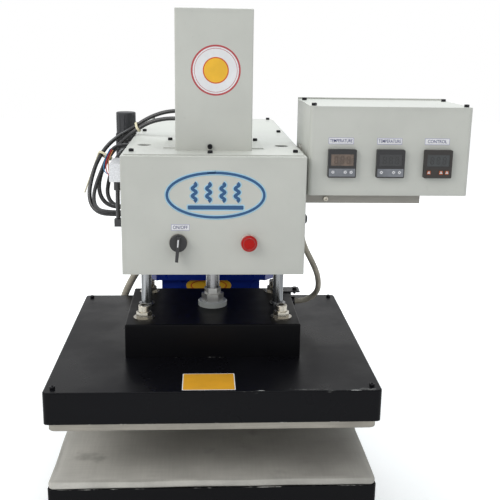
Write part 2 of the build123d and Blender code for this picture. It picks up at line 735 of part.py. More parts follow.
def guide_rods():
    """Two hard-chromed guide rods, each with a collar and a stud on the riser."""
    solids = []
    for side in (-1, 1):
        x = side * GUIDE_SPACING / 2
        rod = pin_z(x, ROD_Y, span(RISER_TOP_Z, GUIDE_LEN), GUIDE_D)
        rod = chamfer(rod.edges().group_by(Axis.Z)[-1], length=SMALL_EDGE)
        rod += pin_z(x, ROD_Y, span(RISER_TOP_Z, GUIDE_COLLAR_T), GUIDE_COLLAR_D)
        rod += pin_z(x, ROD_Y, (RISER_TOP_Z - RISER_WALL - NUT_T - 2, RISER_TOP_Z), BOLT_D)
        solids.append(rod)
    return solids


def piston_foot():
    """Disc, coupling and lock nut that join the piston rod to the riser."""
    disc_z = span(RISER_TOP_Z, FOOT_DISC_T)
    coupling_z = span(disc_z[1], COUPLING_T)
    locknut_z = span(coupling_z[1], LOCKNUT_T)
    disc = pin_z(0, ROD_Y, disc_z, FOOT_DISC_D)
    disc = chamfer(disc.edges().group_by(Axis.Z)[-1], length=SMALL_EDGE)
    foot = disc + hexagon(0, ROD_Y, coupling_z, COUPLING_AF)
    foot += pin_z(0, ROD_Y, (RISER_TOP_Z - RISER_WALL - NUT_T - 2, RISER_TOP_Z), BOLT_D)
    foot -= pin_z(0, ROD_Y, (disc_z[1], coupling_z[1] + 1), ROD_THREAD_D + 2 * FIT)
    return [foot, nut(0, ROD_Y, locknut_z, LOCKNUT_AF, ROD_THREAD_D)]


def piston_rod():
    """The chromed rod with its threaded end and its piston."""
    shoulder = RISER_TOP_Z + FOOT_DISC_T + COUPLING_T + LOCKNUT_T
    piston_top = TUBE_TOP_Z - 1
    rod = pin_z(0, ROD_Y, (RISER_TOP_Z + FOOT_DISC_T + GAP, shoulder), ROD_THREAD_D)
    rod += pin_z(0, ROD_Y, (shoulder, piston_top), PISTON_ROD_D)
    return rod + pin_z(0, ROD_Y, (piston_top - PISTON_T, piston_top), CYLINDER_BORE - 2 * FIT)


def guide_bushes():
    """Flanged bushes in the yoke, round the guide rods."""
    solids = []
    bush_z = (YOKE_Z - BUSH_BELOW, ARM_Z + BUSH_ABOVE)
    for side in (-1, 1):
        x = side * GUIDE_SPACING / 2
        bush = pin_z(x, ROD_Y, bush_z, BUSH_D) + pin_z(x, ROD_Y, span(ARM_Z, BUSH_FLANGE_T), BUSH_FLANGE_D)
        solids.append(bush - pin_z(x, ROD_Y, (bush_z[0] - 1, bush_z[1] + 1), GUIDE_D + 2 * FIT))
    return solids


def cylinder_tube():
    """The air cylinder's barrel."""
    barrel = pin_z(0, ROD_Y, (TUBE_Z, TUBE_TOP_Z), CYLINDER_BORE + 2 * CYLINDER_WALL)
    return barrel - pin_z(0, ROD_Y, (TUBE_Z - 1, TUBE_TOP_Z + 1), CYLINDER_BORE)


def cylinder_caps():
    """The cylinder's two caps, with the four tie rods that clamp them on the barrel."""
    spots = corners(CAP_W - 2 * TIE_ROD_INSET, CAP_W - 2 * TIE_ROD_INSET, 0, ROD_Y)
    front = slab(CAP_W, CAP_W, (CYLINDER_Z, TUBE_Z), CAP_CORNER_R, y=ROD_Y)
    front -= pin_z(0, ROD_Y, (CYLINDER_Z - 1, TUBE_Z + 1), PISTON_ROD_D + 2 * FIT)
    rear = slab(CAP_W, CAP_W, span(TUBE_TOP_Z, CAP_T), CAP_CORNER_R, y=ROD_Y)
    rods = []
    for x, y in spots:
        front -= pin_z(x, y, (CYLINDER_Z + CAP_T / 2, TUBE_Z + 1), TIE_ROD_D + 2 * FIT)
        rear -= pin_z(x, y, (TUBE_TOP_Z - 1, TUBE_TOP_Z + CAP_T + 1), TIE_ROD_D + 2 * FIT)
        nut_z = span(TUBE_TOP_Z + CAP_T, TIE_NUT_T)
        rod = pin_z(x, y, (CYLINDER_Z + CAP_T / 2 + 1, nut_z[1] + 2), TIE_ROD_D)
        rods.append(rod + hexagon(x, y, nut_z, TIE_NUT_AF))
    return [front, rear] + rods


def lid_screw_places():
    """The screws along the lid's two edges."""
    return [(side * (LID_W / 2 - LID_SCREW_IN), y) for side in (-1, 1) for y in LID_SCREW_YS]


def tower_screw_places():
    """The screws in the tower cover's side hems."""
    return [(side * (TOWER_W / 2 + TOWER_HEM_W - LID_SCREW_IN + 2), TOWER_SCREW_Y) for side in (-1, 1)]


def head_housing():
    """The off-white sheet housing round the frame's arm: four walls with hems at the top and bottom."""
    x = around(0, HEAD_W)
    y = span(HEAD_FRONT_Y, HEAD_LEN)
    z = (HEAD_Z, LID_Z)
    shell = block(x, y, z)
    shell = fillet(shell.edges().filter_by(Axis.Z), HEAD_EDGE_R)
    shell = fillet(shell.edges().group_by(Axis.Z)[-1], HEAD_EDGE_R - 0.4)
    inner = (HEAD_SHEET, -HEAD_SHEET)
    shell -= block(*[[p + i for p, i in zip(pair, inner)] for pair in (x, y, z)])
    for hem, hem_z in ((HEAD_HEM_BOTTOM, HEAD_Z), (HEAD_HEM_TOP, LID_Z)):
        shell -= block((x[0] + hem, x[1] - hem), (y[0] + hem, y[1] - hem), around(hem_z, 2 * HEAD_SHEET + 2))
    for control_x in (SWITCH_X, BUTTON_X):
        shell -= pin_y(control_x, around(HEAD_FRONT_Y, 3 * HEAD_SHEET), CONTROL_Z, PANEL_HOLE_D)
    top = around(LID_Z, 3 * HEAD_SHEET)
    for sx, sy in lid_screw_places():
        shell -= pin_z(sx, sy, top, SCREW_D + SCREW_PLAY)
    for side in (-1, 1):
        for lug_y in (LUG_FRONT_Y, LUG_REAR_Y):
            wall = around(side * HEAD_SIDE_X, 3 * HEAD_SHEET)
            shell -= pin_x(wall, lug_y, SIDE_SCREW_Z, SCREW_D + SCREW_PLAY)
    shell -= pin_x(around(HEAD_SIDE_X, 3 * HEAD_SHEET), NIPPLE_Y, NIPPLE_Z, NIPPLE_BORE)
    return shell


def head_lid():
    """The lid with its guide rod holes, the cylinder's opening and the tower's screw tab."""
    y = (HEAD_FRONT_Y + LID_INSET_FRONT, HEAD_REAR_Y - LID_INSET_REAR)
    lid = block(around(0, LID_W), y, (LID_Z, LID_TOP_Z))
    through = (LID_Z - 1, LID_TOP_Z + 1)
    for side in (-1, 1):
        lid -= pin_z(side * GUIDE_SPACING / 2, ROD_Y, through, LID_GUIDE_HOLE_D)
    lid -= block(around(0, LID_OPENING), around(ROD_Y, LID_OPENING), through)
    for x, y in lid_screw_places() + tower_screw_places() + [(FRONT_SCREW_X, FRONT_SCREW_Y)]:
        lid -= pin_z(x, y, through, SCREW_D + SCREW_PLAY)
    tab_y = span(TOWER_FRONT_Y + TOWER_SHEET + GAP, HEAD_SHEET)
    tab = block(around(FRONT_SCREW_X, TAB_W), tab_y, (LID_TOP_Z - 1, LID_TOP_Z + TAB_H))
    through = around(tab_y[0], 4 * HEAD_SHEET)
    tab -= pin_y(FRONT_SCREW_X, through, LID_TOP_Z + FRONT_SCREW_UP, SCREW_D + SCREW_PLAY)
    return lid + tab


def tower_cover():
    """The tall sheet cover over the air cylinder, with a hem down each side of its foot."""
    x = around(0, TOWER_W)
    y = span(TOWER_FRONT_Y, TOWER_D)
    z = (LID_TOP_Z, TOWER_TOP_Z)
    cover = block(x, y, z)
    cover = fillet(cover.edges().filter_by(Axis.Z), TOWER_EDGE_R)
    cover = fillet(cover.edges().group_by(Axis.Z)[-1], TOWER_EDGE_R - 0.3)
    inner = (TOWER_SHEET, -TOWER_SHEET)
    inner_x, inner_y = [[p + i for p, i in zip(pair, inner)] for pair in (x, y)]
    cover -= block(inner_x, inner_y, (z[0] - 1, z[1] - TOWER_SHEET))
    hem_y = (TOWER_HEM_FRONT_Y, y[1])
    hem_z = span(LID_TOP_Z, TOWER_SHEET)
    for side in (-1, 1):
        cover += block(sorted((side * (TOWER_W / 2 - 1), side * (TOWER_W / 2 + TOWER_HEM_W))), hem_y, hem_z)
    for sx, sy in tower_screw_places():
        cover -= pin_z(sx, sy, around(LID_TOP_Z, 4 * TOWER_SHEET), SCREW_D + SCREW_PLAY)
    foot_hole_y = around(TOWER_FRONT_Y, 4 * TOWER_SHEET)
    cover -= pin_y(FRONT_SCREW_X, foot_hole_y, LID_TOP_Z + FRONT_SCREW_UP, SCREW_D + SCREW_PLAY)
    for x, z in ((hose[0][0], hose[0][2]) for hose in (HOSE_LONG, HOSE_SHORT)):
        cover -= pin_y(x, around(y[1], 4 * TOWER_SHEET), z, PORT_D + 2 * FIT)
    return cover


def cover_screws():
    """The black screws of lid, tower, housing, control box and bracket."""
    solids = [screw_down(x, y, LID_TOP_Z) for x, y in lid_screw_places() + [(FRONT_SCREW_X, FRONT_SCREW_Y)]]
    solids += [screw_down(x, y, LID_TOP_Z + TOWER_SHEET) for x, y in tower_screw_places()]
    solids.append(screw_in(FRONT_SCREW_X, TOWER_FRONT_Y, LID_TOP_Z + FRONT_SCREW_UP))
    for side in (-1, 1):
        for lug_y in (LUG_FRONT_Y, LUG_REAR_Y):
            solids.append(screw_across(side * HEAD_SIDE_X, lug_y, SIDE_SCREW_Z, -side))
    solids += [screw_down(x, y, BOX_Z + BOX_H) for x, y in box_lid_screws()]
    solids += [screw_in(x, box_back_y()[1], z, -1) for x, z in box_back_screws()]
    solids.append(screw_in(BRACKET_SCREW_X, BRACKET_FRONT_Y, BOX_Z - BRACKET_H / 2))
    return solids


def selector_switch():
    """The selector's ring, barrel and contact block in the housing's front."""
    ring = pin_y(SWITCH_X, (HEAD_FRONT_Y - SWITCH_RING_T, HEAD_FRONT_Y), CONTROL_Z, SWITCH_RING_D)
    barrel = pin_y(SWITCH_X, span(HEAD_FRONT_Y - 1, HEAD_SHEET + 1), CONTROL_Z, BARREL_D)
    block_y = span(HEAD_FRONT_Y + HEAD_SHEET, SWITCH_BLOCK_T)
    block_z = around(CONTROL_Z, SWITCH_BLOCK_W)
    body = ring + barrel + block(around(SWITCH_X, SWITCH_BLOCK_W), block_y, block_z)
    bore_y = (HEAD_FRONT_Y - SWITCH_RING_T - 1, HEAD_FRONT_Y + SHAFT_IN + GAP)
    return body - pin_y(SWITCH_X, bore_y, CONTROL_Z, SHAFT_D + 2 * FIT)


def selector_knob():
    """The selector's black disc with its lever and shaft."""
    front = HEAD_FRONT_Y - SWITCH_RING_T - GAP
    disc = pin_y(SWITCH_X, (front - SWITCH_KNOB_T, front), CONTROL_Z, SWITCH_KNOB_D)
    disc = fillet(disc.edges().group_by(Axis.Y)[0], SMALL_EDGE)
    lever_y = (front - SWITCH_KNOB_T - LEVER_PROUD, front - SWITCH_KNOB_T + 3)
    lever = block(around(SWITCH_X, LEVER_W), lever_y, (CONTROL_Z - LEVER_DOWN, CONTROL_Z + LEVER_UP))
    lever = fillet(lever.edges().group_by(Axis.Y)[0], SMALL_EDGE)
    hub = Pos(SWITCH_X, 0, CONTROL_Z)
    lever = hub * Rot(0, LEVER_LEAN, 0) * hub.inverse() * lever
    return disc + lever + pin_y(SWITCH_X, (front, HEAD_FRONT_Y + SHAFT_IN), CONTROL_Z, SHAFT_D)


def push_button_switch():
    """The push button's collar, barrel and contact block."""
    collar_y = (HEAD_FRONT_Y - BUTTON_COLLAR_T, HEAD_FRONT_Y)
    collar = pin_y(BUTTON_X, collar_y, CONTROL_Z, BUTTON_COLLAR_D)
    collar = fillet(collar.edges().group_by(Axis.Y)[0], COLLAR_EDGE_R)
    collar -= pin_y(BUTTON_X, (collar_y[0] - 1, collar_y[1] - 1), CONTROL_Z, BUTTON_CAP_D + 2 * GAP)
    barrel = pin_y(BUTTON_X, span(HEAD_FRONT_Y - 1, HEAD_SHEET + 1), CONTROL_Z, BARREL_D)
    block_y = span(HEAD_FRONT_Y + HEAD_SHEET, SWITCH_BLOCK_T)
    block_z = around(CONTROL_Z, SWITCH_BLOCK_W)
    body = collar + barrel + block(around(BUTTON_X, SWITCH_BLOCK_W), block_y, block_z)
    bore_y = (collar_y[0] - 1, HEAD_FRONT_Y + SHAFT_IN + GAP)
    return body - pin_y(BUTTON_X, bore_y, CONTROL_Z, SHAFT_D + 2 * FIT)


def push_button():
    """The red button cap and its stem, out by its whole travel."""
    cap_rear = HEAD_FRONT_Y - 1 - GAP - BUTTON_TRAVEL
    cap = pin_y(BUTTON_X, (cap_rear - BUTTON_CAP_T, cap_rear), CONTROL_Z, BUTTON_CAP_D)
    cap = fillet(cap.edges().group_by(Axis.Y)[0], BUTTON_EDGE_R)
    return cap + pin_y(BUTTON_X, (cap_rear, HEAD_FRONT_Y + SHAFT_IN - BUTTON_TRAVEL), CONTROL_Z, SHAFT_D)


def box_x():
    """The control box's two sides."""
    return span(BOX_X, BOX_W)


def box_back_y():
    """The control box's back plate, from its inner face to its outer one."""
    return span(BOX_FRONT_Y + BOX_D, BOX_SHEET)


def box_lid_screws():
    """The control box's lid screws."""
    x0, x1 = box_x()
    front = BOX_FRONT_Y + BOX_EDGE_R + BOX_SCREW_IN
    rear = BOX_FRONT_Y + BOX_D - 4 * BOX_SCREW_IN
    return [(x, y) for x in (x0 + BOX_SCREW_IN, x1 - BOX_SCREW_IN) for y in (front, rear)]


def box_back_screws():
    """The control box's back screws."""
    x0, x1 = box_x()
    heights = (BOX_Z + BOX_SHEET + BOX_SCREW_IN * 2, BOX_Z + BOX_H - BOX_SCREW_IN * 3)
    return [(x, z) for x in (x0 + BOX_SCREW_IN, x1 - BOX_SCREW_IN) for z in heights]


def control_box():
    """The control box's shell: front, sides and floor, with hems for its lid and back."""
    x = box_x()
    y = span(BOX_FRONT_Y, BOX_D)
    z = (BOX_Z, BOX_Z + BOX_H - BOX_SHEET)
    shell = block(x, y, z)
    upright = shell.edges().filter_by(Axis.Z).group_by(Axis.Y)[0]
    shell = fillet(upright, BOX_EDGE_R)
    inner_x = (x[0] + BOX_SHEET, x[1] - BOX_SHEET)
    cavity_z = (z[0] + BOX_SHEET, z[1] - BOX_SHEET)
    inner = block(inner_x, (y[0] + BOX_SHEET, y[1] - BOX_SHEET), cavity_z)
    shell -= fillet(inner.edges().filter_by(Axis.Z).group_by(Axis.Y)[0], BOX_EDGE_R - BOX_SHEET)
    open_x = (x[0] + BOX_HEM, x[1] - BOX_HEM)
    shell -= block(open_x, (y[0] + BOX_HEM, y[1] + 1), around(z[1], 2 * BOX_SHEET + 2))
    shell -= block(open_x, around(y[1], 2 * BOX_SHEET + 2), (z[0] + BOX_HEM, z[1] + 1))
    for meter_x in METER_XS:
        cutout = METER_CASE + 2 * GAP
        front_y = around(y[0], 4 * BOX_SHEET)
        shell -= block(around(meter_x, cutout), front_y, around(METER_Z, cutout))
    for sx, sy in box_lid_screws():
        shell -= pin_z(sx, sy, around(z[1], 4 * BOX_SHEET), SCREW_D + SCREW_PLAY)
    for sx, sz in box_back_screws():
        shell -= pin_y(sx, around(y[1], 4 * BOX_SHEET), sz, SCREW_D + SCREW_PLAY)
    shell -= pin_x(around(x[0], 4 * BOX_SHEET), NIPPLE_Y, NIPPLE_Z, NIPPLE_BORE)
    return shell


def control_box_lid():
    """The control box's flat lid."""
    lid = block(box_x(), span(BOX_FRONT_Y, BOX_D), (BOX_Z + BOX_H - BOX_SHEET, BOX_Z + BOX_H))
    lid = fillet(lid.edges().filter_by(Axis.Z).group_by(Axis.Y)[0], BOX_EDGE_R)
    for x, y in box_lid_screws():
        lid -= pin_z(x, y, around(BOX_Z + BOX_H, 4 * BOX_SHEET), SCREW_D + SCREW_PLAY)
    return lid


def control_box_back():
    """The control box's back plate, which stands a little above the lid."""
    z = (BOX_Z, BOX_Z + BOX_H + BOX_BACK_PROUD)
    back = block((box_x()[0], box_x()[1] + BOX_SHEET), box_back_y(), z)
    for sx, sz in box_back_screws():
        back -= pin_y(sx, around(box_back_y()[0], 4 * BOX_SHEET), sz, SCREW_D + SCREW_PLAY)
    return back


def control_box_bracket():
    """The channel under the control box, welded to a plate on the head's side, and a cable nipple."""
    x = (HEAD_SIDE_X, HEAD_SIDE_X + BRACKET_W)
    y = span(BRACKET_FRONT_Y, BRACKET_D)
    z = (BOX_Z - BRACKET_H, BOX_Z)
    channel = block(x, y, z)
    inner_y = (y[0] + BRACKET_SHEET, y[1] - BRACKET_SHEET)
    channel -= block((x[0] + BRACKET_SHEET, x[1] + 1), inner_y, (z[0] - 1, z[1] - BRACKET_SHEET))
    through = around(y[0], 4 * BRACKET_SHEET)
    channel -= pin_y(BRACKET_SCREW_X, through, sum(z) / 2, SCREW_D + SCREW_PLAY)
    nipple = pin_x((HEAD_SIDE_X, BOX_X), NIPPLE_Y, NIPPLE_Z, NIPPLE_D)
    return [channel, nipple - pin_x((HEAD_SIDE_X - 1, BOX_X + 1), NIPPLE_Y, NIPPLE_Z, NIPPLE_BORE)]


def meter(x):
    """A panel meter: bezel, case, sunk window and the pockets of its three keys."""
    bezel_y = (BOX_FRONT_Y - METER_BEZEL_T, BOX_FRONT_Y)
    bezel = block(around(x, METER_SIZE), bezel_y, around(METER_Z, METER_SIZE))
    bezel = fillet(bezel.edges().filter_by(Axis.Y), METER_BEZEL_R)
    case = block(around(x, METER_CASE), span(BOX_FRONT_Y - 1, METER_CASE_T), around(METER_Z, METER_CASE))
    body = bezel + case
    window_y = (bezel_y[0] - 1, bezel_y[0] + WINDOW_DEPTH)
    body -= block(around(x, WINDOW_W), window_y, around(METER_Z + WINDOW_UP, WINDOW_H))
    pocket_y = (bezel_y[0] - 1, bezel_y[0] - KEY_PROUD + KEY_T + KEY_TRAVEL + GAP)
    for key_x in KEY_XS:
        width = around(x + key_x, KEY_W + 2 * KEY_PLAY)
        body -= block(width, pocket_y, around(METER_Z - KEY_DOWN, KEY_H + 2 * KEY_PLAY))
    return body


def meter_key(x, key_x):
    """One key of a panel meter, out by its whole travel."""
    front = BOX_FRONT_Y - METER_BEZEL_T - KEY_PROUD
    key = block(around(x + key_x, KEY_W), span(front, KEY_T), around(METER_Z - KEY_DOWN, KEY_H))
    return fillet(key.edges().filter_by(Axis.Y), KEY_EDGE_R)


def solenoid_valve():
    """The valve body and its base plate on the head's left wall."""
    wall = -HEAD_SIDE_X
    base_y = around(VALVE_Y + VALVE_LEN / 2, VALVE_LEN + 2 * VALVE_BASE_OVER)
    base = block((wall - VALVE_BASE_T, wall), base_y, span(VALVE_Z, VALVE_H))
    face = wall - VALVE_BASE_T
    body = block((face - VALVE_D, face), span(VALVE_Y, VALVE_LEN), span(VALVE_Z, VALVE_H))
    return fillet(body.edges().filter_by(Axis.Y), SMALL_EDGE) + base


def valve_coil():
    """The valve's coil with its plug."""
    coil_y = span(VALVE_Y + VALVE_LEN + GAP, COIL_LEN)
    middle_x = -HEAD_SIDE_X - VALVE_BASE_T - VALVE_D / 2
    middle_z = VALVE_Z + VALVE_H / 2
    coil = block(around(middle_x, COIL_W), coil_y, around(middle_z, COIL_H))
    coil = fillet(coil.edges().filter_by(Axis.Y), COIL_EDGE_R)
    plug_z = span(middle_z - COIL_H / 2 + 1 - COIL_PLUG, COIL_PLUG)
    return coil + block(around(middle_x, COIL_PLUG), around(sum(coil_y) / 2, COIL_PLUG), plug_z)


def air_fittings():
    """Push-in fittings: one for each hose end, and the two under the valve."""
    solids = []
    for hose in (HOSE_LONG, HOSE_SHORT):
        x, y, z = hose[0]
        solids.append(pin_y(x, (TOWER_FRONT_Y + TOWER_D - TOWER_SHEET - PORT_IN, y), z, PORT_D))
        solids[-1] += pin_y(x, (TOWER_FRONT_Y + TOWER_D + GAP, y), z, FITTING_D)
    for hose in (HOSE_LONG, HOSE_SHORT, REGULATOR_HOSE, COIL_CABLE):
        x, y, z = hose[-1]
        solids.append(pin_x((x, -HEAD_SIDE_X), y, z, FITTING_D))
    x, y, z = COIL_CABLE[0]
    solids.append(pin_x((x, -HEAD_SIDE_X), y, z, FITTING_D))
    x, y, z = REGULATOR_HOSE[0]
    solids.append(pin_y(x, (y, REG_Y - REG_W / 2), z, FITTING_D))
    x, y, z = DROP_HOSE[-1]
    solids.append(block((x - FITTING_D / 2, -HEAD_SIDE_X), around(y, FITTING_D), (z - FITTING_D, z)))
    for step in (0, 1):
        solids.append(pin_z(x, y + step * PORT_STEP, (DROP_HOSE[0][2], VALVE_Z), FITTING_D))
    return solids


def regulator_body():
    """The regulator's body with the plate that carries it on the head's wall."""
    body = block(around(REG_X, REG_W), around(REG_Y, REG_W), (REG_Z, REG_TOP_Z))
    body = fillet(body.edges().filter_by(Axis.Z), REG_CORNER_R)
    plate_x = (-HEAD_SIDE_X - REG_PLATE_T, -HEAD_SIDE_X)
    plate_z = (REG_Z + REG_PLATE_INSET, REG_TOP_Z - REG_PLATE_INSET)
    body += block(plate_x, around(REG_Y, REG_PLATE_W), plate_z)
    body -= pin_z(REG_X, REG_Y, (REG_TOP_Z - REG_STEM_IN - GAP, REG_TOP_Z + 1), REG_STEM_D + 2 * FIT)
    return body


def regulator_bowl():
    """The regulator's clear water bowl."""
    bowl_z = (REG_Z - BOWL_H, REG_Z)
    bowl = pin_z(REG_X, REG_Y, bowl_z, BOWL_D)
    bowl = fillet(bowl.edges().group_by(Axis.Z)[0], BOWL_EDGE_R)
    return bowl - pin_z(REG_X, REG_Y, (bowl_z[0] + BOWL_WALL, REG_Z - BOWL_WALL), BOWL_D - 2 * BOWL_WALL)


def regulator_knob():
    """The regulator's black knob, with shallow flutes and a stem."""
    knob = pin_z(REG_X, REG_Y, span(REG_KNOB_Z, REG_KNOB_H), REG_KNOB_D)
    knob = fillet(knob.edges().group_by(Axis.Z)[-1], KNOB_EDGE_R)
    for i in range(FLUTES):
        flute = Rot(0, 0, 360 * i / FLUTES) * Pos(FLUTE_CENTRE_R, 0, 0) * Cylinder(FLUTE_R, FLUTE_LEN)
        knob -= Pos(REG_X, REG_Y, REG_KNOB_Z + REG_KNOB_H / 2) * flute
    return knob + pin_z(REG_X, REG_Y, (REG_TOP_Z - REG_STEM_IN, REG_KNOB_Z), REG_STEM_D)


def cable_glands():
    """The fixed glands of both conduits, and the air and mains inlets at the head's rear."""
    x, y, z = HEATER_CONDUIT[0]
    elbow_w = HEATER_CONDUIT_D + 2 * GLAND_WALL
    elbow = block((HEAD_SIDE_X, x + elbow_w / 2), around(y, elbow_w), span(z, elbow_w))
    solids = [fillet(elbow.edges().filter_by(Axis.Y).group_by(Axis.X)[-1], elbow_w / 3)]
    x, y, z = REAR_CONDUIT[0]
    solids.append(pin_z(x, y, (z, YOKE_Z), REAR_CONDUIT_D + 2 * GLAND_WALL))
    x, y, z = REAR_CONDUIT[-1]
    solids.append(pin_z(x, y, (DECK_Z, z), REAR_CONDUIT_D + 2 * GLAND_WALL))
    for inlet_x in (-GUIDE_SPACING / 4, GUIDE_SPACING / 4):
        sleeve_d = HEATER_CONDUIT_D + 2 * GLAND_WALL
        sleeve = pin_y(inlet_x, span(HEAD_REAR_Y, GLAND_LEN * 1.5), CONTROL_Z, sleeve_d)
        bore_y = span(HEAD_REAR_Y + GLAND_WALL, GLAND_LEN * 1.5)
        solids.append(sleeve - pin_y(inlet_x, bore_y, CONTROL_Z, HEATER_CONDUIT_D))
    return solids


def terminal_bracket():
    """The earthing bracket on the riser's rear right corner, its screw, and the moving conduit's gland."""
    edge = RISER_W / 2
    y = around(PRESS_Y + RISER_D / 2 - TERMINAL_D / 2 - RISER_EDGE_R, TERMINAL_D)
    top = block((edge - TERMINAL_IN, edge - TERMINAL_IN + TERMINAL_W), y, span(RISER_TOP_Z, TERMINAL_T))
    leg = block(span(edge, TERMINAL_T), y, (RISER_TOP_Z - TERMINAL_DROP, RISER_TOP_Z + 1))
    screw_x = edge - TERMINAL_IN + TERMINAL_W - SCREW_HEAD_D
    screw = screw_down(screw_x, sum(y) / 2, RISER_TOP_Z + TERMINAL_T)
    bracket = top + leg - pin_z(screw_x, sum(y) / 2, around(RISER_TOP_Z, 4 * TERMINAL_T), SCREW_D)
    x, y, z = HEATER_CONDUIT[-1]
    return [bracket, screw, pin_x((edge, x), y, z, HEATER_CONDUIT_D + 2 * GLAND_WALL)]


def hose_tie(long_run, short_run, play, tail=0.0):
    """A tie round one run of the long hose and one of the short hose, with its cut tail."""
    one = middle(HOSE_LONG, long_run)
    along = (heading(HOSE_LONG, long_run) + heading(HOSE_SHORT, short_run)).normalized()
    apart = middle(HOSE_SHORT, short_run) - one
    across = apart - along * apart.dot(along)
    plane = Plane(origin=one + across / 2, x_dir=across, z_dir=along)
    bore = HOSE_D + 2 * play
    outer = SlotCenterToCenter(across.length, bore + 2 * TIE_T)
    band = extrude(plane * (outer - SlotCenterToCenter(across.length, bore)), amount=TIE_W / 2, both=True)
    if tail:
        strip = Box(TIE_W, TIE_T, tail, align=(Align.CENTER, Align.MAX, Align.MAX))
        root = one - across.normalized() * (bore / 2)
        band += Plane(origin=root, x_dir=(0.35, -0.94, 0), z_dir=(0.34, 0.12, 0.93)) * strip
    return band


def cable_ties():
    """Two cable ties round both hoses: one at the lid's edge, and one lower down with a long tail."""
    return [hose_tie(6, 5, TIE_PLAY), hose_tie(9, 8, TAIL_TIE_PLAY, TAIL_LEN)]


ROUTE_SIDE_X = 155.8      # the head's side that the routes below are written for


def beside_head(route):
    """The route with its points beside the head kept at their distance from the head's side."""
    out = HEAD_SIDE_X - ROUTE_SIDE_X
    return [(x + copysign(out, x) if abs(x) > LID_W / 4 else x, y, z) for x, y, z in route]


# Routes of hoses, cable, wires and conduits, chosen by hand from how they lie.
HOSE_LONG = beside_head([
    (-24, -39, 748), (-24, -14, 748), (-36, 8, 749), (-60, 20, 750), (-88, 25, 748), (-114, 33, 740),
    (-139, 41, 727), (-161, 41, 711), (-187, 29, 698), (-209, 9, 680), (-226, -14, 652), (-235, -31, 622),
    (-239, -45, 594), (-233, -57, 572), (-217, -65, 560), (-194, -66, 558), (-166, -66, 558),
])
HOSE_SHORT = beside_head([
    (-44, -39, 734), (-44, -18, 734), (-54, 0, 735), (-77, 10, 736), (-103, 15, 733), (-128, 23, 725),
    (-151, 28, 711), (-175, 20, 692), (-198, 2, 669), (-214, -18, 641), (-221, -34, 613), (-218, -43, 591),
    (-207, -48, 576), (-189, -50, 569), (-166, -50, 569),
])
REGULATOR_HOSE = beside_head([
    (-178, 70, 672), (-178, 45, 672), (-188, 26, 660), (-199, 6, 637), (-205, -9, 611), (-207, -20, 590),
    (-199, -29, 574), (-183, -33, 566), (-162, -33, 566),
])
COIL_CABLE = beside_head([
    (-164, -2, 684), (-182, -2, 684), (-196, -8, 677), (-206, -18, 660), (-215, -31, 638), (-224, -45, 614),
    (-229, -59, 590), (-222, -75, 571), (-202, -84, 566), (-166, -84, 566),
])
DROP_HOSE = beside_head([(-175, -124, 616), (-175, -124, 562)])
WIRES = [
    beside_head([
        (-196.4, -13.9, 676.4), (-203.9, -21.4, 663.6), (-207, -33, 647), (-203, -43, 633), (-194, -48, 627),
        (-181.8, -48, 627),
    ]),
    beside_head([
        (-194.0, -12.9, 674.4), (-201.5, -20.4, 661.7), (-202, -35, 646), (-198, -46, 631), (-192, -52, 623),
        (-181.8, -52, 623),
    ]),
    beside_head([
        (-199.2, -12.9, 677.5), (-206.7, -20.4, 664.7), (-211, -33, 646), (-208, -42, 635), (-196, -44, 631),
        (-181.8, -44, 631),
    ]),
]
HEATER_CONDUIT = beside_head([
    (171, -92, 548), (171, -92, 522), (180, -91, 496), (195, -87, 469), (208, -79, 440), (212, -70, 411),
    (206, -62, 395), (195, -56, 384), (180, -53, 378), (166, -53, 378),
])
REAR_CONDUIT = [
    (-126, 155, 494), (-126, 155, 458), (-143, 155, 415), (-172, 156, 373), (-195, 156, 328),
    (-206, 156, 283), (-206, 155, 237), (-200, 153, 203), (-187, 151, 174), (-171, 150, 147),
    (-160, 150, 122), (-160, 150, 97),
]


def middle(route, run):
    """The middle of a run, where the cord lies on the line between its points."""
    return (Vector(*route[run]) + Vector(*route[run + 1])) / 2


def heading(route, run):
    """The direction of a run."""
    return (Vector(*route[run + 1]) - Vector(*route[run])).normalized()


os.makedirs("parts", exist_ok=True)
write("base_frame", *base_frame())
write("column", column())
write("upper_frame", *upper_frame())
write("frame_bolts", *frame_bolts())
write("bed_pillars", *bed_pillars())
write("bed_bolts", *bed_bolts())
write("bed_tray", bed_tray())
write("bed_insulation", bed_insulation())
write("bed_plate", bed_plate())
write("bed_pad", bed_pad())
write("platen_cover", platen_cover())
write("platen_insulation", platen_insulation())
write("heat_platen", heat_platen())
write("platen_screws", *platen_screws())
write("riser_box", riser_box())
write("riser_bolts", *riser_bolts())
write("guide_rods", *guide_rods())
write("piston_foot", *piston_foot())
write("piston_rod", piston_rod())
write("guide_bushes", *guide_bushes())
write("cylinder_tube", cylinder_tube())
write("cylinder_caps", *cylinder_caps())
write("head_housing", head_housing())
write("head_lid", head_lid())
write("tower_cover", tower_cover())
write("cover_screws", *cover_screws())
write("selector_switch", selector_switch())
write("selector_knob", selector_knob())
write("push_button_switch", push_button_switch())
write("push_button", push_button())
write("control_box", control_box())
write("control_box_lid", control_box_lid())
write("control_box_back", control_box_back())
write("control_box_bracket", *control_box_bracket())
for meter_name, meter_x in zip(("left", "middle", "right"), METER_XS):
    write(f"meter_{meter_name}", meter(meter_x))
    for number, key_offset in enumerate(KEY_XS, 1):
        write(f"meter_{meter_name}_key_{number}", meter_key(meter_x, key_offset))
write("solenoid_valve", solenoid_valve())
write("valve_coil", valve_coil())
write("air_fittings", *air_fittings())
write("regulator_body", regulator_body())
write("regulator_bowl", regulator_bowl())
write("regulator_knob", regulator_knob())
write("cable_glands", *cable_glands())
write("terminal_bracket", *terminal_bracket())
write("cable_ties", *cable_ties())
